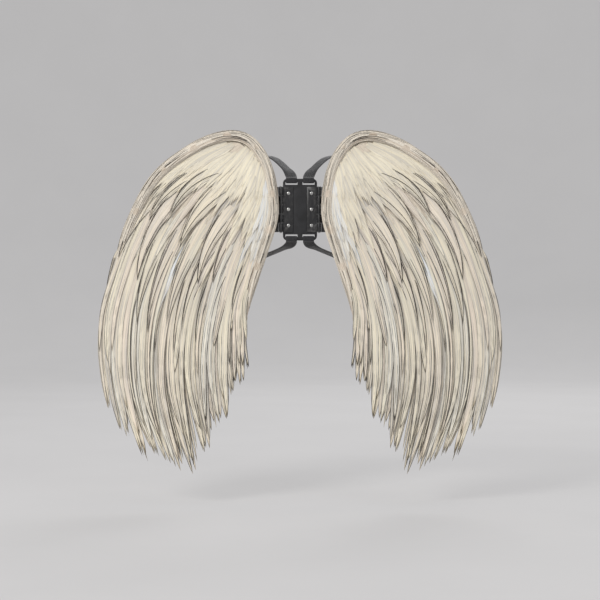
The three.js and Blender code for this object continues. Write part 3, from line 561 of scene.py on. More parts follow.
def painted_steel_material():
    """Black paint with an orange-peel skin, rubbed through along the edges."""
    sh = Shader("black_painted_steel", 0.4, Specular_IOR_Level=0.5)
    wear = sh.cloud(130.0, 5.0, 0.7)
    pointy = sh.node("ShaderNodeNewGeometry").outputs["Pointiness"]
    rubbed = sh.times(sh.ramp(pointy, (0.52, 0.0), (0.6, 1.0)), sh.ramp(wear, (0.48, 0.0), (0.64, 0.4)))
    shade = sh.mix(rubbed, srgb(28, 28, 30), srgb(120, 118, 114))
    normal = sh.bump(sh.cloud(420.0, 2.0), 0.12, 0.0003)
    return sh.finish(shade, normal, sh.ramp(wear, (0.3, 0.34), (0.7, 0.5)))


def steel_material():
    sh = Shader("brushed_zinc_steel", 0.35, Metallic=1.0)
    brush = sh.stretched(sh.position(), (1.0, 1.0, 12.0), size=260.0)
    shade = sh.ramp(sh.cloud(150.0), (0.3, srgb(150, 150, 150)), (0.7, srgb(188, 187, 184)))
    return sh.finish(shade, sh.bump(brush, 0.15, 0.0002), sh.ramp(brush, (0.3, 0.26), (0.7, 0.46)))


def wire_material():
    sh = Shader("aluminium_wire", 0.38, Metallic=1.0)
    cloud = sh.cloud(90.0, 4.0)
    shade = sh.ramp(cloud, (0.3, srgb(168, 168, 166)), (0.7, srgb(204, 203, 200)))
    return sh.finish(shade, sh.bump(cloud, 0.1, 0.0004), sh.ramp(cloud, (0.3, 0.3), (0.7, 0.5)))


def tape_material(name, low, high):
    """Woven cotton tape. The grain attribute holds [across, along] in millimetres."""
    sh = Shader(name, 0.9, Sheen_Weight=0.3, Specular_IOR_Level=0.2)
    _, g = sh.attribute("grain")
    weave = sh.times(sh.wave(g[0], 5.2), sh.wave(g[1], 5.2))
    shade = sh.ramp(sh.math("MULTIPLY_ADD", weave, 0.5, 0.5), (0.0, low), (1.0, high))
    shade = sh.tint(shade, low, sh.cloud(50.0), (0.5, 0.0), (0.8, 0.4))
    return sh.finish(shade, sh.bump(weave, 0.4, 0.0003))


def thread_material(name, colour):
    sh = Shader(name, 0.7, Sheen_Weight=0.2, Specular_IOR_Level=0.3)
    twist = sh.cloud(1500.0, 2.0)
    darker = tuple(0.55 * v for v in colour[:3]) + (1,)
    return sh.finish(sh.tint(colour, darker, twist, (0.4, 0.0), (0.65, 0.6)), sh.bump(twist, 0.4, 0.0003))


MATERIALS = {
    "feather": feather_material(),
    "rim": plush_material("rim_down", srgb(236, 224, 206), srgb(146, 130, 113), 0.55, 0.008),
    # The down bed is darker than the feathers: partly its own colour, partly painted shade for the gaps
    # between feathers.
    "bed": plush_material("down_bed", srgb(230, 220, 202), srgb(176, 165, 148), 0.35, 0.014),
    # The shoulder down's last colour is a painted highlight on the pad's inner side.
    "cap": plush_material("shoulder_down", CREAM, srgb(220, 210, 188), 0.3, 0.015, srgb(238, 242, 242)),
    "strand": strand_material("laid_strands", srgb(240, 231, 216), srgb(50, 43, 37)),
    "filament": strand_material("dark_filoplume", srgb(36, 30, 26), srgb(62, 53, 45)),
    "felt": felt_material(),
    "webbing": webbing_material(),
    "padding": padding_material(),
    "moulded": moulded_material(),
    "painted": painted_steel_material(),
    "steel": steel_material(),
    "wire": wire_material(),
    "tape": tape_material("cotton_tape", srgb(188, 176, 152), srgb(226, 218, 198)),
    "thread": thread_material("cream_thread", srgb(232, 222, 200)),
    "black_thread": thread_material("black_thread", srgb(40, 40, 43)),
}

# ---------- feathers

FRONT = np.array([-1, -0.72, -0.4, 0, 0.4, 0.72, 1.0])
ACROSS = np.concatenate([FRONT, [0.6, 0, -0.6]])
IS_FRONT = np.arange(len(ACROSS)) < len(FRONT)
RAGGED = 0.08
FEATHER_LIFT = 1.4


def vane_profile(t, kind):
    """Half-width along a feather, as a share of its widest."""
    if kind == "covert":
        swell = 0.45 + 0.55 * np.minimum(1, t / 0.3) ** 0.7
        return swell * np.clip(1 - np.clip((t - 0.22) / 0.78, 0, 1) ** 1.25, 0.012, 1)
    swell = 0.5 + 0.5 * np.minimum(1, t / 0.3) ** 0.7
    return swell * np.clip(1 - t**16, 0.03, 1) * (1 - 0.4 * t)


def wavering(rng, rings, step=3):
    """Slow random changes along a feather, as a column."""
    knots = [rng.uniform(-1, 1) for _ in range(rings // step + 2)]
    return np.interp(np.arange(rings) / step, np.arange(len(knots)), knots)[:, None]


def feather(batch, rng, centre, width, kind="covert", ink=1.0, dark_tip=0.0, tone=None, streaks=0.6,
            lift=0.0, ridge=0.9, tilt=0.055):
    """One feather along a centre line of x, z points in the wing's flat coordinates."""
    rings = len(centre)
    t = np.linspace(0, 1, rings)[:, None]
    across = flat_across(centre)
    half = width / 2 * vane_profile(t, kind)
    left, right = (half * (1 + RAGGED * wavering(rng, rings)) for _ in range(2))
    half_here = np.where(ACROSS < 0, left, right)
    offset = ACROSS * half_here
    x = centre[:, :1] + across[:, :1] * offset
    z = centre[:, 1:] + across[:, 1:] * offset
    inside = 1 - np.abs(ACROSS)
    crown = np.where(IS_FRONT, inside**0.7 * ridge * min(1.0, width / 16) + 0.15, -0.15)
    crown = crown * (0.35 + 0.65 * np.sin(np.pi * np.clip(t, 0.02, 1) ** 0.8) ** 0.5)
    fall = np.maximum(0, centre[0, 1] + root_arch(x) - root_arch(centre[0, 0]) - z)
    depth = (PANEL_THICKNESS + FEATHER_LIFT + lift + SHINGLE_SLOPE * fall + cap_bulge(x, z) + crown
             + offset * tilt)
    tone = rng.random() if tone is None else tone
    batch.loft(lay(x, z, depth),
               grain=(offset, reach_along(centre)[:, None], rng.uniform(0, 400)),
               vane=(np.clip(inside * half_here / 10, 0, 1), t if kind == "covert" else t**2.3, tone),
               look=(ink, dark_tip, streaks))


def grown_line(u, s, bend=0.0, rings=20):
    """A centre line that follows the growth lines from (u[0], s[0]) to (u[1], s[1])."""
    t = np.linspace(0, 1, rings)
    centre = growth(u[0] + (u[1] - u[0]) * t, s[0] + (s[1] - s[0]) * t)
    return centre + flat_across(centre) * (bend * np.sin(np.pi * t))[:, None]


def sickle_line(root, tip, bend, rings=24):
    """A centre line that leaves its root outwards and turns down to its tip."""
    root, tip = np.array(root, float), np.array(tip, float)
    chord = tip - root
    across = np.array([-chord[1], chord[0]]) / np.linalg.norm(chord)
    return arc(root, root + 0.55 * chord + 2 * bend * across, tip, rings)


# Large coverts: root, tip, width and bend, in millimetres in the wing's flat coordinates.
LARGE_COVERTS = {
    "shoulder_coverts": [
        ((142, 84), (258, -14), 30, 19), ((138, 54), (238, -75), 38, 13), ((196, 78), (300, -22), 26, 13),
    ],
    "lesser_coverts": [
        ((132, 4), (202, -148), 32, 13), ((116, -20), (172, -146), 27, 8), ((236, 40), (324, -141), 32, 17),
        ((285, 24), (362, -104), 24, 9),
    ],
    "median_coverts": [
        ((150, -44), (234, -250), 30, 14), ((186, -30), (263, -237), 30, 14),
        ((222, -20), (303, -245), 30, 15), ((262, -30), (324, -229), 27, 13),
        ((112, -70), (176, -222), 24, 9), ((306, -42), (362, -206), 24, 10), ((92, -88), (134, -204), 19, 5),
    ],
    "greater_coverts": [
        ((116, -128), (160, -262), 22, 7), ((158, -112), (206, -268), 24, 9),
        ((206, -104), (250, -290), 24, 10), ((248, -118), (288, -284), 24, 10),
        ((290, -120), (330, -278), 23, 9), ((330, -96), (374, -250), 23, 9), ((348, -60), (386, -196), 20, 8),
    ],
}
# Row: filler count, root share, tip share, width
FILLERS = {
    "greater_coverts": (16, 0.28, 0.60, 17.0),
    "median_coverts": (14, 0.21, 0.46, 17.0),
    "lesser_coverts": (10, 0.13, 0.34, 20.0),
    "shoulder_coverts": (9, 0.05, 0.22, 15.0),
}
# Row, count, root share, width, how far tips may fall short, ink, how far tips gather
FLIGHTS = [
    ("flight_feathers_rear", 56, 0.42, 13.5, 0.05, 0.8, (0.0, 0.4)),
    ("flight_feathers_front", 42, 0.36, 13.0, 0.12, 0.95, (0.3, 0.85)),
    ("secondary_feathers", 34, 0.28, 13.5, 0.30, 0.95, (0.3, 0.8)),
]
# The flight feathers gather into locks, whose tips these are.
LOCK_TIPS = [
    (100, -320), (113, -346), (133, -370), (141, -414), (158, -428), (177, -474), (207, -524), (231, -519),
    (256, -504), (280, -491), (303, -497), (339, -457), (350, -450), (383, -398), (400, -318),
]
BROWN_LOCKS = (1, 3, 10)
LOCK_RINGS = 28
FLIGHT_FILAMENTS = 46
EDGE_FILAMENTS = 16
RIM_STRANDS = 320
CAP_FEATHERS, INNER_FEATHERS, RIM_FEATHERS = 110, 30, 34
DOWN_RINGS = 14


def growth_share(point):
    """The u and s whose place on the growth lines is nearest to a point."""
    u, s = np.meshgrid(np.linspace(-0.05, 1.05, 221), np.linspace(0.5, 1.08, 117))
    nearest = np.argmin(np.linalg.norm(growth(u, s) - np.array(point, float), axis=-1))
    return u.ravel()[nearest], s.ravel()[nearest]


LOCKS = [growth_share(tip) for tip in LOCK_TIPS]


def nearest_lock(u):
    return min(range(len(LOCKS)), key=lambda i: abs(LOCKS[i][0] - u))


def lock_line(rng, u, start, shortfall, gather):
    """A centre line that runs down the wing and gathers into the nearest lock at its tip."""
    lock_u, lock_s = LOCKS[nearest_lock(u)]
    t = np.linspace(0, 1, LOCK_RINGS)
    along_u = u + (lock_u - u) * (gather * np.clip((t - 0.3) / 0.7, 0, 1) ** 4.2)
    end = lock_s - shortfall - 0.35 * abs(u - lock_u)
    centre = growth(along_u, start + (end - start) * t)
    return centre + wavering(rng, LOCK_RINGS, 9) * np.array([1.6, 0])


def flight_rows(side):
    """The long feathers, in three layers."""
    for number, (node, count, root, width, shortfall, ink, gather) in enumerate(FLIGHTS):
        rng = random.Random(100 + number)
        draw = rng.uniform
        batch = Batch()
        for i in range(count):
            u = -0.02 + 1.03 * (i + 0.5 + draw(-0.4, 0.4)) / count
            short = shortfall * rng.random() ** 1.4
            centre = lock_line(rng, u, root + draw(-0.05, 0.05), short, draw(*gather))
            brown = draw(0.5, 0.9) if nearest_lock(u) in BROWN_LOCKS else draw(0.0, 0.3)
            feather(batch, rng, centre, width * draw(0.5, 1.4), "flight",
                    ink=ink * (1.15 - 0.35 * u) * draw(0.7, 1.1), dark_tip=brown, tone=draw(0, 0.9),
                    streaks=(1.15 - 0.7 * u) * draw(0.25, 0.8), lift=draw(-0.5, 0.7), ridge=1.1,
                    tilt=0.035)
        on_wing(batch, side, f"{node}_blades", "feather", "feather", node, sharp=70)


def filament(batch, rng, line, width, lift):
    """A thin dark filoplume that lies on the feathers."""
    feather(batch, rng, line, width, "flight", tone=0.0, streaks=2.0, lift=lift, ridge=0.6, tilt=0)


def filaments(side):
    """Dark filoplumes beside the large coverts and down the flight feathers."""
    rng = random.Random(41)
    draw = rng.uniform
    batch = Batch()
    for root, tip, breadth, bend in sum(LARGE_COVERTS.values(), []):
        for way, low, high in ((1, 0.28, 0.5), (1, 0.5, 0.62), (-1, 0.3, 0.6)):
            shift = np.array([way * breadth * draw(low, high) * 0.7, way * breadth * 0.22])
            end = np.array(tip) + shift * draw(0.05, 0.2) + np.array([0, draw(0, 14)])
            line = sickle_line(np.array(root) + shift, end, bend + draw(-1, 3), 34)
            seen = line[rng.randrange(4, 12):]
            hidden = SHINGLE_SLOPE * (line[0][1] - seen[0][1])
            filament(batch, rng, seen, draw(0.9, 1.4), 2.9 + max(0, hidden))
    for i in range(FLIGHT_FILAMENTS):
        u = 1.02 * ((i + draw(0.1, 0.9)) / FLIGHT_FILAMENTS) ** 1.6
        line = lock_line(rng, u, draw(0.45, 0.72), draw(0.0, 0.12), draw(0.3, 0.8))
        filament(batch, rng, line, draw(0.8, 1.3), 2.3)
    for _ in range(EDGE_FILAMENTS):
        start = draw(0.2, 0.6)
        u = 1.0 + draw(-0.05, 0.025)
        line = grown_line((u, u + draw(-0.01, 0.012)), (start, start + draw(0.12, 0.28)), 0, 18)
        filament(batch, rng, line, draw(0.8, 1.3), draw(0.5, 3.0))
    on_wing(batch, side, "filaments", "filament", "feather", sharp=80)


def covert_rows(side):
    """Each covert row: faint fillers, and the large feathers over them."""
    for number, (node, large) in enumerate(LARGE_COVERTS.items()):
        rng = random.Random(200 + number)
        draw = rng.uniform
        count, root, tip, width = FILLERS[node]
        faint = node == "shoulder_coverts"
        batch = Batch()
        for i in range(count):
            u = 0.03 + 0.95 * (i + draw(0.15, 0.85)) / count
            line = grown_line((u, min(1.0, u + 0.05)), (root, tip + draw(-0.05, 0.03)), draw(0, 5))
            feather(batch, rng, line, width * draw(0.7, 1.1), ink=0.12 if faint else draw(0.3, 0.7),
                    streaks=0.15 if faint else draw(0.25, 0.6), lift=-0.9)
        for start, end, breadth, bend in large:
            feather(batch, rng, sickle_line(start, end, bend), breadth, streaks=draw(0.12, 0.4),
                    lift=draw(0.6, 1.1), tone=draw(0.2, 0.85), ridge=1.0, tilt=0.05)
        on_wing(batch, side, f"{node}_blades", "feather", "feather", node, sharp=70)


def shoulder_down(side):
    """Small soft feathers over the shoulder cap and along the inner side of the rim."""
    rng = random.Random(7)
    draw = rng.uniform
    batch = Batch()

    def soft(u, start, end, bend, width, ink, tone, lift):
        line = grown_line((u, min(1.01, u + 0.03)), (start, end), bend, DOWN_RINGS)
        feather(batch, rng, line, draw(*width), ink=ink, tone=tone, streaks=0.1, lift=lift + draw(0, 0.6),
                ridge=0.3, tilt=0.01)

    for _ in range(CAP_FEATHERS):
        u = draw(-0.02, 1.0)
        start = draw(0.0, 0.1 + 0.12 * max(0, u - 0.7))
        # Painted highlight: the feathers along the inner edge take the palest, bluish-white tone.
        tone = 1.0 if u < 0.12 else draw(0.38, 0.48)
        end = start + draw(0.09, 0.14) + 0.1 * max(0, u - 0.6)
        soft(u, start, end, draw(0, 3), (11, 19), 0.03, tone, 0.2)
    for _ in range(INNER_FEATHERS):
        u = draw(0.0, 0.32)
        start = draw(0.1, 0.25) - 0.25 * max(0, u - 0.15)
        # Painted highlight: the palest tone again along the inner edge.
        tone = 0.96 if u < 0.13 else draw(0.38, 0.5)
        soft(u, start, start + draw(0.1, 0.15), draw(0, 2), (11, 18), 0.05, tone, 1.6)
    for _ in range(RIM_FEATHERS):
        u = draw(-0.03, 0.06)
        start = draw(0.05, 0.5)
        line = grown_line((u, u + 0.02), (start, start + draw(0.14, 0.22)), 0, DOWN_RINGS)
        # Painted highlight: the rim feathers take the palest tones, as pale bands along the rim.
        feather(batch, rng, line, draw(7, 11), "flight", ink=0.15, tone=rng.choice([1.0, 0.97, 0.93]),
                streaks=0.25, lift=0.9)
    on_wing(batch, side, "shoulder_down", "feather", "feather", sharp=70)


BED_COLUMNS, BED_RINGS = 34, 44
BED_FRONT, BED_REAR = 1.3, 0.35
BED_WIDTH, BED_LENGTH = 330, 640


def down_bed(side):
    """Short down glued to the panel, so that nothing bare shows between the feathers."""
    batch = Batch()
    u = np.linspace(-0.03, 1.02, BED_COLUMNS)
    loop = np.concatenate([u, u[::-1]])
    s = np.linspace(0.0, 0.78, BED_RINGS)[:, None]
    laid = growth(loop, s)
    front = PANEL_THICKNESS + BED_FRONT + 0.6 * cap_bulge(laid[..., 0], laid[..., 1])
    depth = np.where(np.arange(len(loop)) < BED_COLUMNS, front, PANEL_THICKNESS + BED_REAR)
    batch.loft(lay_flat(laid, depth), grain=(loop * BED_WIDTH, s * BED_LENGTH, 0))
    on_wing(batch, side, "down_bed", "bed", "feather")


PAD_SHIFT = 3
PAD_SHARE = (0.86, 0.9)
PAD_LEAN = 0.16
PAD_FOOT = 0.7
PAD_HEIGHT = 7.6
PAD_HIGHLIGHT_REACH = 22


def shoulder_cap(side):
    """The stuffed plush pad under the shoulder down."""
    batch = Batch()
    low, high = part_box("right_shoulder_cap")
    middle = ((low.x + high.x) / 2 / MM - PAD_SHIFT, (low.z + high.z) / 2 / MM)
    half = ((high.x - low.x) / 2 / MM, (high.z - low.z) / 2 / MM)
    c, s = (values[::-1] for values in circle(48))
    rise = np.linspace(0, 1, 9)[:, None]
    radius = np.cos(rise * math.pi / 2 * 0.97)
    x = middle[0] + half[0] * PAD_SHARE[0] * radius * (c + PAD_LEAN * s)
    z = middle[1] + half[1] * PAD_SHARE[1] * radius * s
    depth = PANEL_THICKNESS + PAD_FOOT + PAD_HEIGHT * np.sin(rise * math.pi / 2)
    # Painted highlight: the pad is paler towards its inner edge.
    painted_highlight = np.clip(1 - (x - low.x / MM) / PAD_HIGHLIGHT_REACH, 0, 1)
    batch.loft(lay(x, z, depth), grain=(x, z, 0), vane=(0, 0, painted_highlight))
    piece = on_wing(batch, side, "shoulder_pad", "cap", "rim_plush", "shoulder_cap")


ROLL_START, ROLL_END = 0.4, -0.16
ROLL_WIDTH, ROLL_HEIGHT, ROLL_INSET = 20.0, 10.5, 10.5
ROLL_FOOT = PANEL_THICKNESS + 0.6
ROLL_LENGTH = 790.0


def roll_section(share, angle):
    """x, z and depth on the padded rim, at shares along it and angles over it."""
    ends = eased(np.minimum(share + 0.03, 1.03 - share) / 0.14)
    middle, _, inwards = rim_points(ROLL_END + (ROLL_START - ROLL_END) * share, ROLL_INSET)
    sideways = np.cos(angle) * ROLL_WIDTH / 2 * (0.3 + 0.7 * ends)
    laid = middle + inwards * sideways[..., None]
    depth = ROLL_FOOT + ROLL_HEIGHT * ends * (0.12 + 0.88 * np.maximum(0, np.sin(angle)))
    return laid[..., 0], laid[..., 1], np.where(np.sin(angle) < -0.01, ROLL_FOOT, depth)


def rim_roll(side):
    """The padded rim, with slow lumps in its stuffing."""
    batch = Batch()
    share, angle = np.meshgrid(np.linspace(0, 1, 150), np.linspace(math.pi, 0, 22), indexing="ij")
    x, z, depth = roll_section(share, angle)
    lumps = 0.5 * np.sin(share * 61) * np.sin(angle) + 0.35 * np.sin(share * 139 + 1) * np.sin(angle)
    batch.loft(lay(x, z, depth + lumps), grain=(angle * 9, share * ROLL_LENGTH, 0))
    piece = on_wing(batch, side, "rim_roll", "rim", "rim_plush", "edge_roll")


def rim_strands(side):
    """Strands of down laid along the rim, a few of them lifting off at the edge."""
    rng = random.Random(23)
    draw = rng.uniform
    batch = Batch()
    section = np.array([[-0.5, 0], [0, 0.55], [0.5, 0]])
    t = np.linspace(0, 1, 14)
    for _ in range(RIM_STRANDS):
        start = draw(-0.01, 0.95)
        share = np.linspace(start, min(1.0, start + draw(0.07, 0.24)), len(t))
        drift = draw(-0.35, 0.35)
        first = math.pi * rng.choice([rng.random(), 0.5 + 0.5 * rng.random()])
        x, z, depth = roll_section(share, np.clip(first + drift * t, 0.0, math.pi))
        path = lay(x, z, depth + (0.35 + 1.1 * t**3 * rng.random() ** 3))
        girth = draw(0.9, 2.3) * MM * np.sin(np.pi * np.clip(t, 0.04, 0.97)) ** 0.5
        across = np.cross(np.gradient(path, axis=0), path - lay(x, z, depth))
        tone = rng.choice([0.0, 0.0, 0.08, 0.2, 0.5, 0.95]) if first > 0.7 else draw(0.0, 0.25)
        batch.loft(sweep_rings(path, across, section, girth), vane=(0, 0, tone))
    on_wing(batch, side, "rim_strands", "strand", "rim_plush", sharp=80)


# ---------- the back of the wing

WIRE_INSET = 16.0
WIRE_RADIUS = 2.5
WIRE_GAP = 3.0 / 1400.0
PANEL_INSET = 10.0
PANEL_HUB = np.array([190.0, -110.0])
WIRE_LOOPS = 24
TAPE_HALF_WIDTH, TAPE_THICKNESS = 6, 0.7
BONING_HALF_WIDTH, BONING_REAR, BONING_THICKNESS = 7.5, 0.35, 1.45
BONING_SEAM = 5.9
# Length, gap and radius of a stitch
EDGE_STITCH = (4.5 * MM, 2.5 * MM, 0.45 * MM)
BONING_STITCH = (3.4 * MM, 1.8 * MM, 0.35 * MM)
BLOCK_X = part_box("right_root_block")[1].x / MM
RIBS = {
    "rib_upper": ((BLOCK_X + 9, 12), outline_place(0.6, 0.2), (0, 14)),
    "rib_middle": ((BLOCK_X + 9, -12), outline_place(0.81, -0.49), (26, 26)),
    "rib_lower": ((BLOCK_X + 9, -36), outline_place(0.44, -0.84), (22, 12)),
}


def back_panel(side):
    """Felt-covered foam panel with a rounded edge."""
    batch = Batch()
    share = np.arange(240) / 240
    from_hub = rim_points(share, PANEL_INSET)[0] - PANEL_HUB
    scales = (0.02, 0.35, 0.7, 0.93)
    rings = [lay_flat(PANEL_HUB + from_hub * scale, 0) for scale in scales]
    rings += [lay_flat(rim_points(share, PANEL_INSET + inset)[0], depth)
              for inset, depth in ((1.0, 0.2), (0.0, 1.5), (1.0, 2.8))]
    rings += [lay_flat(PANEL_HUB + from_hub * scale, PANEL_THICKNESS) for scale in reversed(scales)]
    batch.loft(np.array(rings)[:, ::-1])
    on_wing(batch, side, "felt_panel", "felt", "felt", "backing_panel")


def frame_wire(side):
    """The bent wire round the back of the panel."""
    batch = Batch()
    laid, _, inwards = rim_points(np.linspace(WIRE_GAP, 1 - WIRE_GAP, 260), WIRE_INSET)
    path = lay_flat(laid, -(0.6 + WIRE_RADIUS))
    across = pack(inwards[:, 0], 0, inwards[:, 1])
    batch.loft(sweep_rings(path, across, round_section(2 * WIRE_RADIUS * MM, 14)))
    on_wing(batch, side, "bent_wire", "wire", "frame_wire", "frame_wire")


def wire_loops(side):
    """Short tapes sewn over the wire, which hold it to the panel."""
    batch = Batch()
    over = WIRE_RADIUS + 0.5
    profile = [(-11.0, 0.35), (-7.5, 0.35), (-4.6, 0.5)]
    profile += [(-math.cos(a) * (over + 0.6), 0.6 + WIRE_RADIUS + math.sin(a) * over)
                for a in np.linspace(0, math.pi, 9)]
    profile += [(4.6, 0.5), (7.5, 0.35), (11.0, 0.35)]
    offset, rear = np.array(profile).T[:, :, None]
    half = np.array([-1, 1, 1, -1]) * TAPE_HALF_WIDTH
    thick = np.array([0, 0, 1, 1]) * TAPE_THICKNESS
    for i in range(WIRE_LOOPS):
        centre, along, inwards = rim_points((i + 0.9) / (WIRE_LOOPS + 0.8), WIRE_INSET)
        laid = centre + inwards * offset[..., None] + along * half[:, None]
        batch.loft(lay_flat(laid, -(rear + thick)), grain=(half, offset, 0))
    on_wing(batch, side, "wire_loops", "tape", "felt")


def rib_path(start, end, bend):
    start, end = np.array(start, float), np.array(end, float)
    return arc(start, (start + end) / 2 + np.array(bend, float), end, 40)


def boning(side):
    """Boning in sewn channels of cotton tape, with rounded long edges."""
    section = np.array([(-1, 0), (-0.97, 0.7), (-0.8, 1), (0, 1.05), (0.8, 1), (0.97, 0.7), (1, 0)])
    offset = section[:, 0] * BONING_HALF_WIDTH
    for name, rib in RIBS.items():
        batch = Batch()
        path = rib_path(*rib)
        t = np.linspace(0, 1, len(path))
        ends = np.sqrt(np.clip(1 - (np.abs(t - 0.5) * 2) ** 60, 0, 1)) * 0.995 + 0.005
        laid = path[:, None] + flat_across(path)[:, None] * (offset * ends[:, None])[..., None]
        depth = -(BONING_REAR + section[:, 1] * BONING_THICKNESS)
        batch.loft(lay_flat(laid, depth), grain=(offset, reach_along(path)[:, None], 0))
        on_wing(batch, side, f"{name}_channel", "tape", "boning", name)


def stitch(batch, start, end, outwards, radius):
    """One stitch: a short bowed thread from start to end."""
    t = np.linspace(0, 1, 5)
    path = start + (end - start) * t[:, None] + outwards * (np.sin(np.pi * t) * radius * 0.9)[:, None]
    girth = radius * np.array([0.35, 0.9, 1, 0.9, 0.35])
    batch.loft(sweep_rings(path, np.cross(end - start, outwards), round_section(2, 6), girth))


def run_stitches(batch, line, length, gap, radius):
    """A row of stitches along a polyline in metres, on the rear of the panel."""
    reach = reach_along(line)
    distance = gap
    while distance + length < reach[-1]:
        ends = (sample(line, reach, distance), sample(line, reach, distance + length))
        stitch(batch, *ends, Y_AXIS, radius)
        distance += length + gap


def wing_stitches(side):
    """Thread on the rear of the wing: round the panel and down the channels."""
    batch = Batch()
    edge, _, _ = rim_points(np.linspace(0, 1, 400), PANEL_INSET + 2.6)
    run_stitches(batch, lay_flat(edge, -0.1), *EDGE_STITCH)
    for rib in RIBS.values():
        path = rib_path(*rib)
        for way in (-1, 1):
            line = lay_flat(path + flat_across(path) * BONING_SEAM * way, -1.75)
            run_stitches(batch, line, *BONING_STITCH)
    on_wing(batch, side, "wing_stitches", "thread", "felt")


# ---------- harness

CLOSED = 2e-5
DOME_STEPS = 6
RIVET_HEAD, RIVET_SHANK, RIVET_FLANGE = 1.6 * MM, 1.9 * MM, 1.1 * MM
PIN_HEAD, PIN_SHANK, PIN_HEAD_HEIGHT = 3.0 * MM, 1.5 * MM, 1.5 * MM


def refined(node, body, slot, material, bevel):
    """A copy of a CAD solid with its flat facets joined and its edges rounded."""
    piece = bpy.data.objects.new(f"{node}_finished", NODES[node].data.copy())
    bpy.context.scene.collection.objects.link(piece)
    piece.data.materials.clear()
    piece.data.materials.append(MATERIALS[material])
    settings = {
        "WELD": {"merge_threshold": 1e-5},
        "DECIMATE": {"decimate_type": "DISSOLVE", "angle_limit": math.radians(2)},
        "BEVEL": {"width": bevel, "segments": 3, "limit_method": "ANGLE", "angle_limit": math.radians(30)},
    }
    for kind, values in settings.items():
        made = piece.modifiers.new(kind.lower(), kind)
        for key, value in values.items():
            setattr(made, key, value)
    bpy.context.view_layer.update()
    shaped = bpy.data.meshes.new_from_object(piece.evaluated_get(bpy.context.evaluated_depsgraph_get()))
    piece.modifiers.clear()
    piece.data = shaped
    shaped.shade_smooth()
    shaped.set_sharp_from_angle(angle=math.radians(35))
    place(piece, body, slot, node)


def turned(node, body, profile, centre, upright=False):
    """A turned steel piece. The profile is [radius, distance along its axis, y or upright]."""
    c, s = circle(32)
    radius, along = np.array(profile).T[:, :, None]
    batch = Batch()
    if upright:
        batch.loft(pack(centre[0] + radius * c, centre[1] + radius * s, centre[2] + along))
    else:
        batch.loft(pack(centre[0] + radius * c, centre[1] + along, centre[2] - radius * s))
    place(batch.build(f"{node}_turned", "steel", sharp=40), body, "pin_steel", node)


def dome(radius, height, start, out):
    """Profile points of a low domed head from its foot to its crown."""
    points = [(radius * 0.9, start), (radius, start + out * height * 0.18)]
    for k in range(1, DOME_STEPS + 1):
        a = k / DOME_STEPS * math.pi / 2
        rise = height * (0.2 + 0.8 * math.sin(a))
        points.append((max(radius * math.cos(a), CLOSED), start + out * rise))
    return points


def rivets(side):
    """Domed rivet heads on the hinge leaves, with their sunk flanges."""
    for leaf, body, out in (("wing", f"{side}_wing", 1), ("plate", "harness", -1)):
        for level in ("top", "middle", "bottom"):
            node = f"{side}_{leaf}_rivet_{level}"
            low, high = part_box(node)
            radius = (high.x - low.x) / 2
            head_end, flange_end = (high.y, low.y) if out > 0 else (low.y, high.y)
            foot = head_end - out * RIVET_HEAD
            flange_top = flange_end + out * RIVET_FLANGE
            profile = [(CLOSED, flange_end), (radius * 0.94, flange_end),
                       (radius, flange_end + out * 0.2 * MM), (radius, flange_top),
                       (RIVET_SHANK, flange_top), (RIVET_SHANK, foot)]
            profile += dome(radius, RIVET_HEAD, foot, out)
            turned(node, body, profile[::out], ((low.x + high.x) / 2, 0.0, (low.z + high.z) / 2))


def hinge_pin(side):
    node = f"{side}_hinge_pin"
    low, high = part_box(node)
    foot, neck = low.z + PIN_HEAD_HEIGHT, high.z - PIN_HEAD_HEIGHT
    profile = dome(PIN_HEAD, PIN_HEAD_HEIGHT, foot, -1)[::-1] + [(PIN_SHANK, foot), (PIN_SHANK, neck)]
    profile += dome(PIN_HEAD, PIN_HEAD_HEIGHT, neck, 1)
    turned(node, "harness", profile, ((low.x + high.x) / 2, (low.y + high.y) / 2, 0.0), upright=True)


STRAP_WIDTH, STRAP_THICKNESS = 22.0, 1.8
STRAP_TO_CENTRE = 17.0
STRAP_CLEAR = 0.4
BAR_HEIGHT = 7.0
FOLD_CORNER = 1.4
PLATE_LOW, PLATE_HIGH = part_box("back_plate")
STRAP_LEAVES_Y = PLATE_HIGH.y / MM + STRAP_CLEAR + STRAP_THICKNESS / 2
STRAP_LEAVES_Z = PLATE_HIGH.z / MM + STRAP_CLEAR + STRAP_THICKNESS / 2
OVER_SHOULDER = [
    (STRAP_TO_CENTRE, STRAP_LEAVES_Y, STRAP_LEAVES_Z), (STRAP_TO_CENTRE + 1, 0, 68), (27, 16, 83),
    (56, 52, 110), (90, 100, 116), (120, 140, 90), (139, 163, 42), (145, 168, -16), (139, 158, -70),
    (122, 133, -108),
]
LIMB_REAR = (38, 20, -78)
LOWER_ANCHOR = (STRAP_TO_CENTRE, STRAP_LEAVES_Y, -STRAP_LEAVES_Z)


def bezier(p0, p1, p2, p3, count):
    t = np.linspace(0, 1, count)[:, None]
    return (1 - t) ** 3 * p0 + 3 * t * (1 - t) ** 2 * p1 + 3 * t**2 * (1 - t) * p2 + t**3 * p3


def strap_path():
    """Points along the strap in millimetres, the direction across it and the distance along it."""
    upper = catmull(OVER_SHOULDER, 120)
    front, rear, anchor = (np.array(p, float) for p in (OVER_SHOULDER[-1], LIMB_REAR, LOWER_ANCHOR))
    along = unit(rear - front)
    limb = front + (rear - front) * np.linspace(0, 1, 30)[:, None]
    lower = bezier(rear, rear + 16 * along, anchor + np.array([0, 14, -8]), anchor, 20)
    path = np.vstack([upper, limb[1:], lower[1:]])
    across = unit(np.array([-along[1], along[0], 0.0]))
    reach = reach_along(path)
    turn = eased((np.minimum(reach, reach[-1] - reach) - 8) / (45 - 8))[:, None]
    return path, X_AXIS * (1 - turn) + across * turn, reach


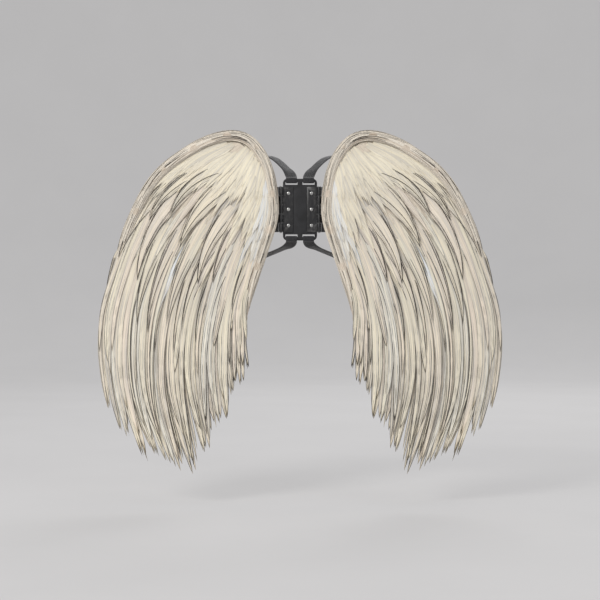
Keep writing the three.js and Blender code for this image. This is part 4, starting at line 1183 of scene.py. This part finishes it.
def ribbon_section(width, thickness):
    """Points round a flat strap's section, with softened corners."""
    half, t = width / 2, thickness / 2
    lower = [(-half, -t * 0.5), (-half + 0.5, -t), (-half / 2, -t), (0, -t), (half / 2, -t), (half - 0.5, -t),
             (half, -t * 0.5)]
    return np.array(lower + [(x, -y) for x, y in reversed(lower)])


def fold_path(upwards):
    """The strap's sewn end, round the bar between a slot and the plate's end."""
    t = STRAP_THICKNESS / 2
    y0, y1 = PLATE_LOW.y / MM - STRAP_CLEAR - t, PLATE_HIGH.y / MM + STRAP_CLEAR + t
    z0, z1 = PLATE_HIGH.z / MM - BAR_HEIGHT - STRAP_CLEAR - t, PLATE_HIGH.z / MM + STRAP_CLEAR + t
    c = FOLD_CORNER
    path = []
    for cy, cz, first in [(y1 - c, z1 - c, 0), (y0 + c, z1 - c, 90),
                          (y0 + c, z0 + c, 180), (y1 - c, z0 + c, 270)]:
        for k in range(6):
            a = math.radians(first + k * 18)
            path.append((STRAP_TO_CENTRE, cy + c * math.cos(a), cz + c * math.sin(a)))
    path = np.array(path)
    return path if upwards > 0 else (path * np.array([1, 1, -1]))[::-1]


def shoulder_strap(side):
    """Webbing strap, with its two ends folded round the bars of the plate."""
    batch = Batch()
    path, across, reach = strap_path()
    section = ribbon_section(STRAP_WIDTH, STRAP_THICKNESS)
    batch.loft(sweep_rings(path * MM, across, section * MM), grain=(section[:, 0], reach[:, None], 0))
    section = ribbon_section(STRAP_WIDTH, STRAP_THICKNESS * 0.96)
    for upwards in (1, -1):
        fold = fold_path(upwards)
        batch.loft(hoop_rings(fold, X_AXIS, section) * MM, closed_path=True,
                   grain=(section[:, 0], np.arange(len(fold))[:, None] * 1.2, 0))
    piece = batch.build(f"{side}_webbing_strap", "webbing", side, sharp=60)
    place(piece, "harness", "webbing", f"{side}_shoulder_strap")


TACK_ROWS, TACK_PITCH = 5, 3.0
TACK_START, TACK_LENGTH, TACK_STEP = -8.5, 3.6, 4.4


def strap_stitches(side):
    """Bar tacks where each end of the strap is sewn to itself."""
    batch = Batch()
    path, across, reach = strap_path()
    sides, faces = frames_along(path * MM, across)
    for start in (5.0, reach[-1] - 17.0):
        for row in range(TACK_ROWS):
            here = start + row * TACK_PITCH
            middle, across_here, face = (sample(values, reach, here) for values in (path, sides, faces))
            for way in (-1, 1):
                surface = middle * MM + face * way * STRAP_THICKNESS / 2 * MM
                for k in range(4):
                    first = TACK_START + TACK_STEP * k
                    a = surface + across_here * first * MM
                    b = surface + across_here * (first + TACK_LENGTH) * MM
                    stitch(batch, a, b, face * way, 0.3 * MM)
    place(batch.build(f"{side}_strap_stitches", "black_thread", side), "harness", "webbing")


PAD_CORNERS = 0.42
QUILT_DEPTH = 1.1 * MM
QUILT_CHANNELS = 3
PIPING = 1.8 * MM


def back_pad():
    """Foam pad in mesh cloth, quilted in channels, with piping round its edge."""
    low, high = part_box("back_pad")
    width, height, depth = (high.x - low.x) / 2, (high.z - low.z) / 2, high.y - low.y
    c, s = circle(96)
    edge = pack(np.sign(c) * np.abs(c) ** PAD_CORNERS * width, np.sign(s) * np.abs(s) ** PAD_CORNERS * height)
    rings = []

    def ring(scale, y):
        x, z = (edge * scale).T
        quilt = np.cos(z / height * QUILT_CHANNELS * math.pi) ** 12 * (np.abs(x) < width * 0.8) * QUILT_DEPTH
        rings.append(pack(x, y - quilt * (1 if y > low.y + depth * 0.6 else 0), z))

    for scale in (0.02, 0.3, 0.6, 0.85, 0.94):
        ring(scale, low.y + 0.1 * MM)
    for k in range(14):
        a = -math.pi / 2 + math.pi * k / 13
        ring(0.945 + 0.05 * math.cos(a), low.y + depth * (0.48 + 0.42 * math.sin(a)))
    for scale in np.linspace(0.92, 0.02, 22):
        ring(scale, low.y + depth * (0.92 + 0.08 * (1 - scale**2)))
    batch = Batch()
    batch.loft(rings)
    piece = batch.build("quilted_back_pad", "padding", sharp=70)
    place(piece, "harness", "pad", "back_pad")
    piping = Batch()
    loop = pack(edge[:, 0] * 0.985, low.y + depth * 0.5, edge[:, 1] * 0.985)
    piping.loft(hoop_rings(loop, Y_AXIS, round_section(PIPING, 8)[:, ::-1]), closed_path=True)
    place(piping.build("pad_piping", "webbing"), "harness", "pad")


# ---------- room, light and camera

VIEW_HEIGHT = -0.18
VIEW_WIDTH = 1.2
VIEW_DISTANCE = 2.8
SENSOR = 36.0
FLOOR_GAP = 0.06
FLOOR_REACH, FLOOR_BEND, WALL_TOP = 4.2, 2.6, 5.0
# Name, place, target, size, power and colour
LIGHTS = [
    ("key", (-2.2, -3.2, 2.2), (0, 0, VIEW_HEIGHT), (1.4, 1.4), 112, (1.0, 0.99, 0.965)),
    ("fill", (2.6, -2.8, 1.3), (0, 0, VIEW_HEIGHT), (1.6, 1.6), 21, (0.98, 0.99, 1.0)),
    ("top", (0, 0.2, 2.9), (0, 0, VIEW_HEIGHT), (2.6, 2.2), 16, (1, 1, 1)),
    ("rear", (1.2, 3.6, 2.4), (0, 0.1, -0.1), (2.4, 1.8), 66, (1, 1, 1)),
]
WORLD_COLOUR, WORLD_STRENGTH = (0.95, 0.96, 1.0, 1), 0.55


def backdrop_material():
    sh = Shader("pale_backdrop", 0.9, Specular_IOR_Level=0.1, Emission_Color=srgb(200, 199, 199),
                Emission_Strength=0.55)
    return sh.finish(sh.ramp(sh.cloud(3.0, 4.0), (0.3, srgb(138, 137, 137)), (0.7, srgb(142, 141, 141))))


def studio():
    """A round floor that curves up into a wall, so that every view has the same backdrop."""
    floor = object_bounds()[0].z - FLOOR_GAP
    profile = [(0.0001, floor), (FLOOR_REACH, floor)]
    profile += [(FLOOR_REACH + FLOOR_BEND * math.sin(a), floor + FLOOR_BEND - FLOOR_BEND * math.cos(a))
                for a in np.linspace(0, math.pi / 2, 24)[1:]]
    profile += [(FLOOR_REACH + FLOOR_BEND, WALL_TOP)]
    radius, z = np.array(profile).T[:, :, None]
    c, s = circle(96)
    batch = Batch()
    batch.loft(pack(radius * c, radius * s, z)[:, ::-1], caps=False)
    MATERIALS["backdrop"] = backdrop_material()
    batch.build("backdrop", "backdrop")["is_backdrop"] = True


def lights():
    for name, stand, target, size, power, colour in LIGHTS:
        light = bpy.data.lights.new(name, "AREA")
        light.shape = "RECTANGLE"
        light.size, light.size_y = size
        light.energy = power
        light.color = colour
        lamp = bpy.data.objects.new(name, light)
        bpy.context.scene.collection.objects.link(lamp)
        lamp.location = stand
        lamp.rotation_euler = (Vector(target) - Vector(stand)).to_track_quat("-Z", "Y").to_euler()
    world = bpy.data.worlds.new("studio")
    world.use_nodes = True
    background = world.node_tree.nodes["Background"]
    background.inputs[0].default_value = WORLD_COLOUR
    background.inputs[1].default_value = WORLD_STRENGTH
    bpy.context.scene.world = world


def camera():
    lens = bpy.data.cameras.new("camera")
    lens.sensor_width = SENSOR
    lens.lens = SENSOR * VIEW_DISTANCE / VIEW_WIDTH
    lens.clip_end = 50
    eye = bpy.data.objects.new("camera", lens)
    bpy.context.scene.collection.objects.link(eye)
    eye.location = (0, -VIEW_DISTANCE, VIEW_HEIGHT)
    eye.rotation_euler = (math.pi / 2, 0, 0)
    bpy.context.scene.camera = eye
    bpy.context.scene.view_settings.view_transform = "Standard"


# ---------- assembly

camera()
studio()
lights()
LEAF_BEVEL, PLASTIC_BEVEL = 0.0003, 0.0006
SIDE_PIECES = (
    back_panel, frame_wire, wire_loops, boning, wing_stitches, down_bed, shoulder_cap, flight_rows,
    covert_rows, filaments, shoulder_down, rim_roll, rim_strands, rivets, hinge_pin, shoulder_strap,
    strap_stitches,
)
for side in SIDES:
    for make in SIDE_PIECES:
        make(side)
    refined(f"{side}_wing_leaf", f"{side}_wing", "hinge_steel", "painted", LEAF_BEVEL)
    refined(f"{side}_plate_leaf", "harness", "hinge_steel", "painted", LEAF_BEVEL)
    refined(f"{side}_root_block", f"{side}_wing", "harness_plastic", "moulded", PLASTIC_BEVEL)
    refined(f"{side}_strap_adjuster", f"{side}_adjuster", "harness_plastic", "moulded", PLASTIC_BEVEL)
back_pad()
refined("back_plate", "harness", "harness_plastic", "moulded", PLASTIC_BEVEL)
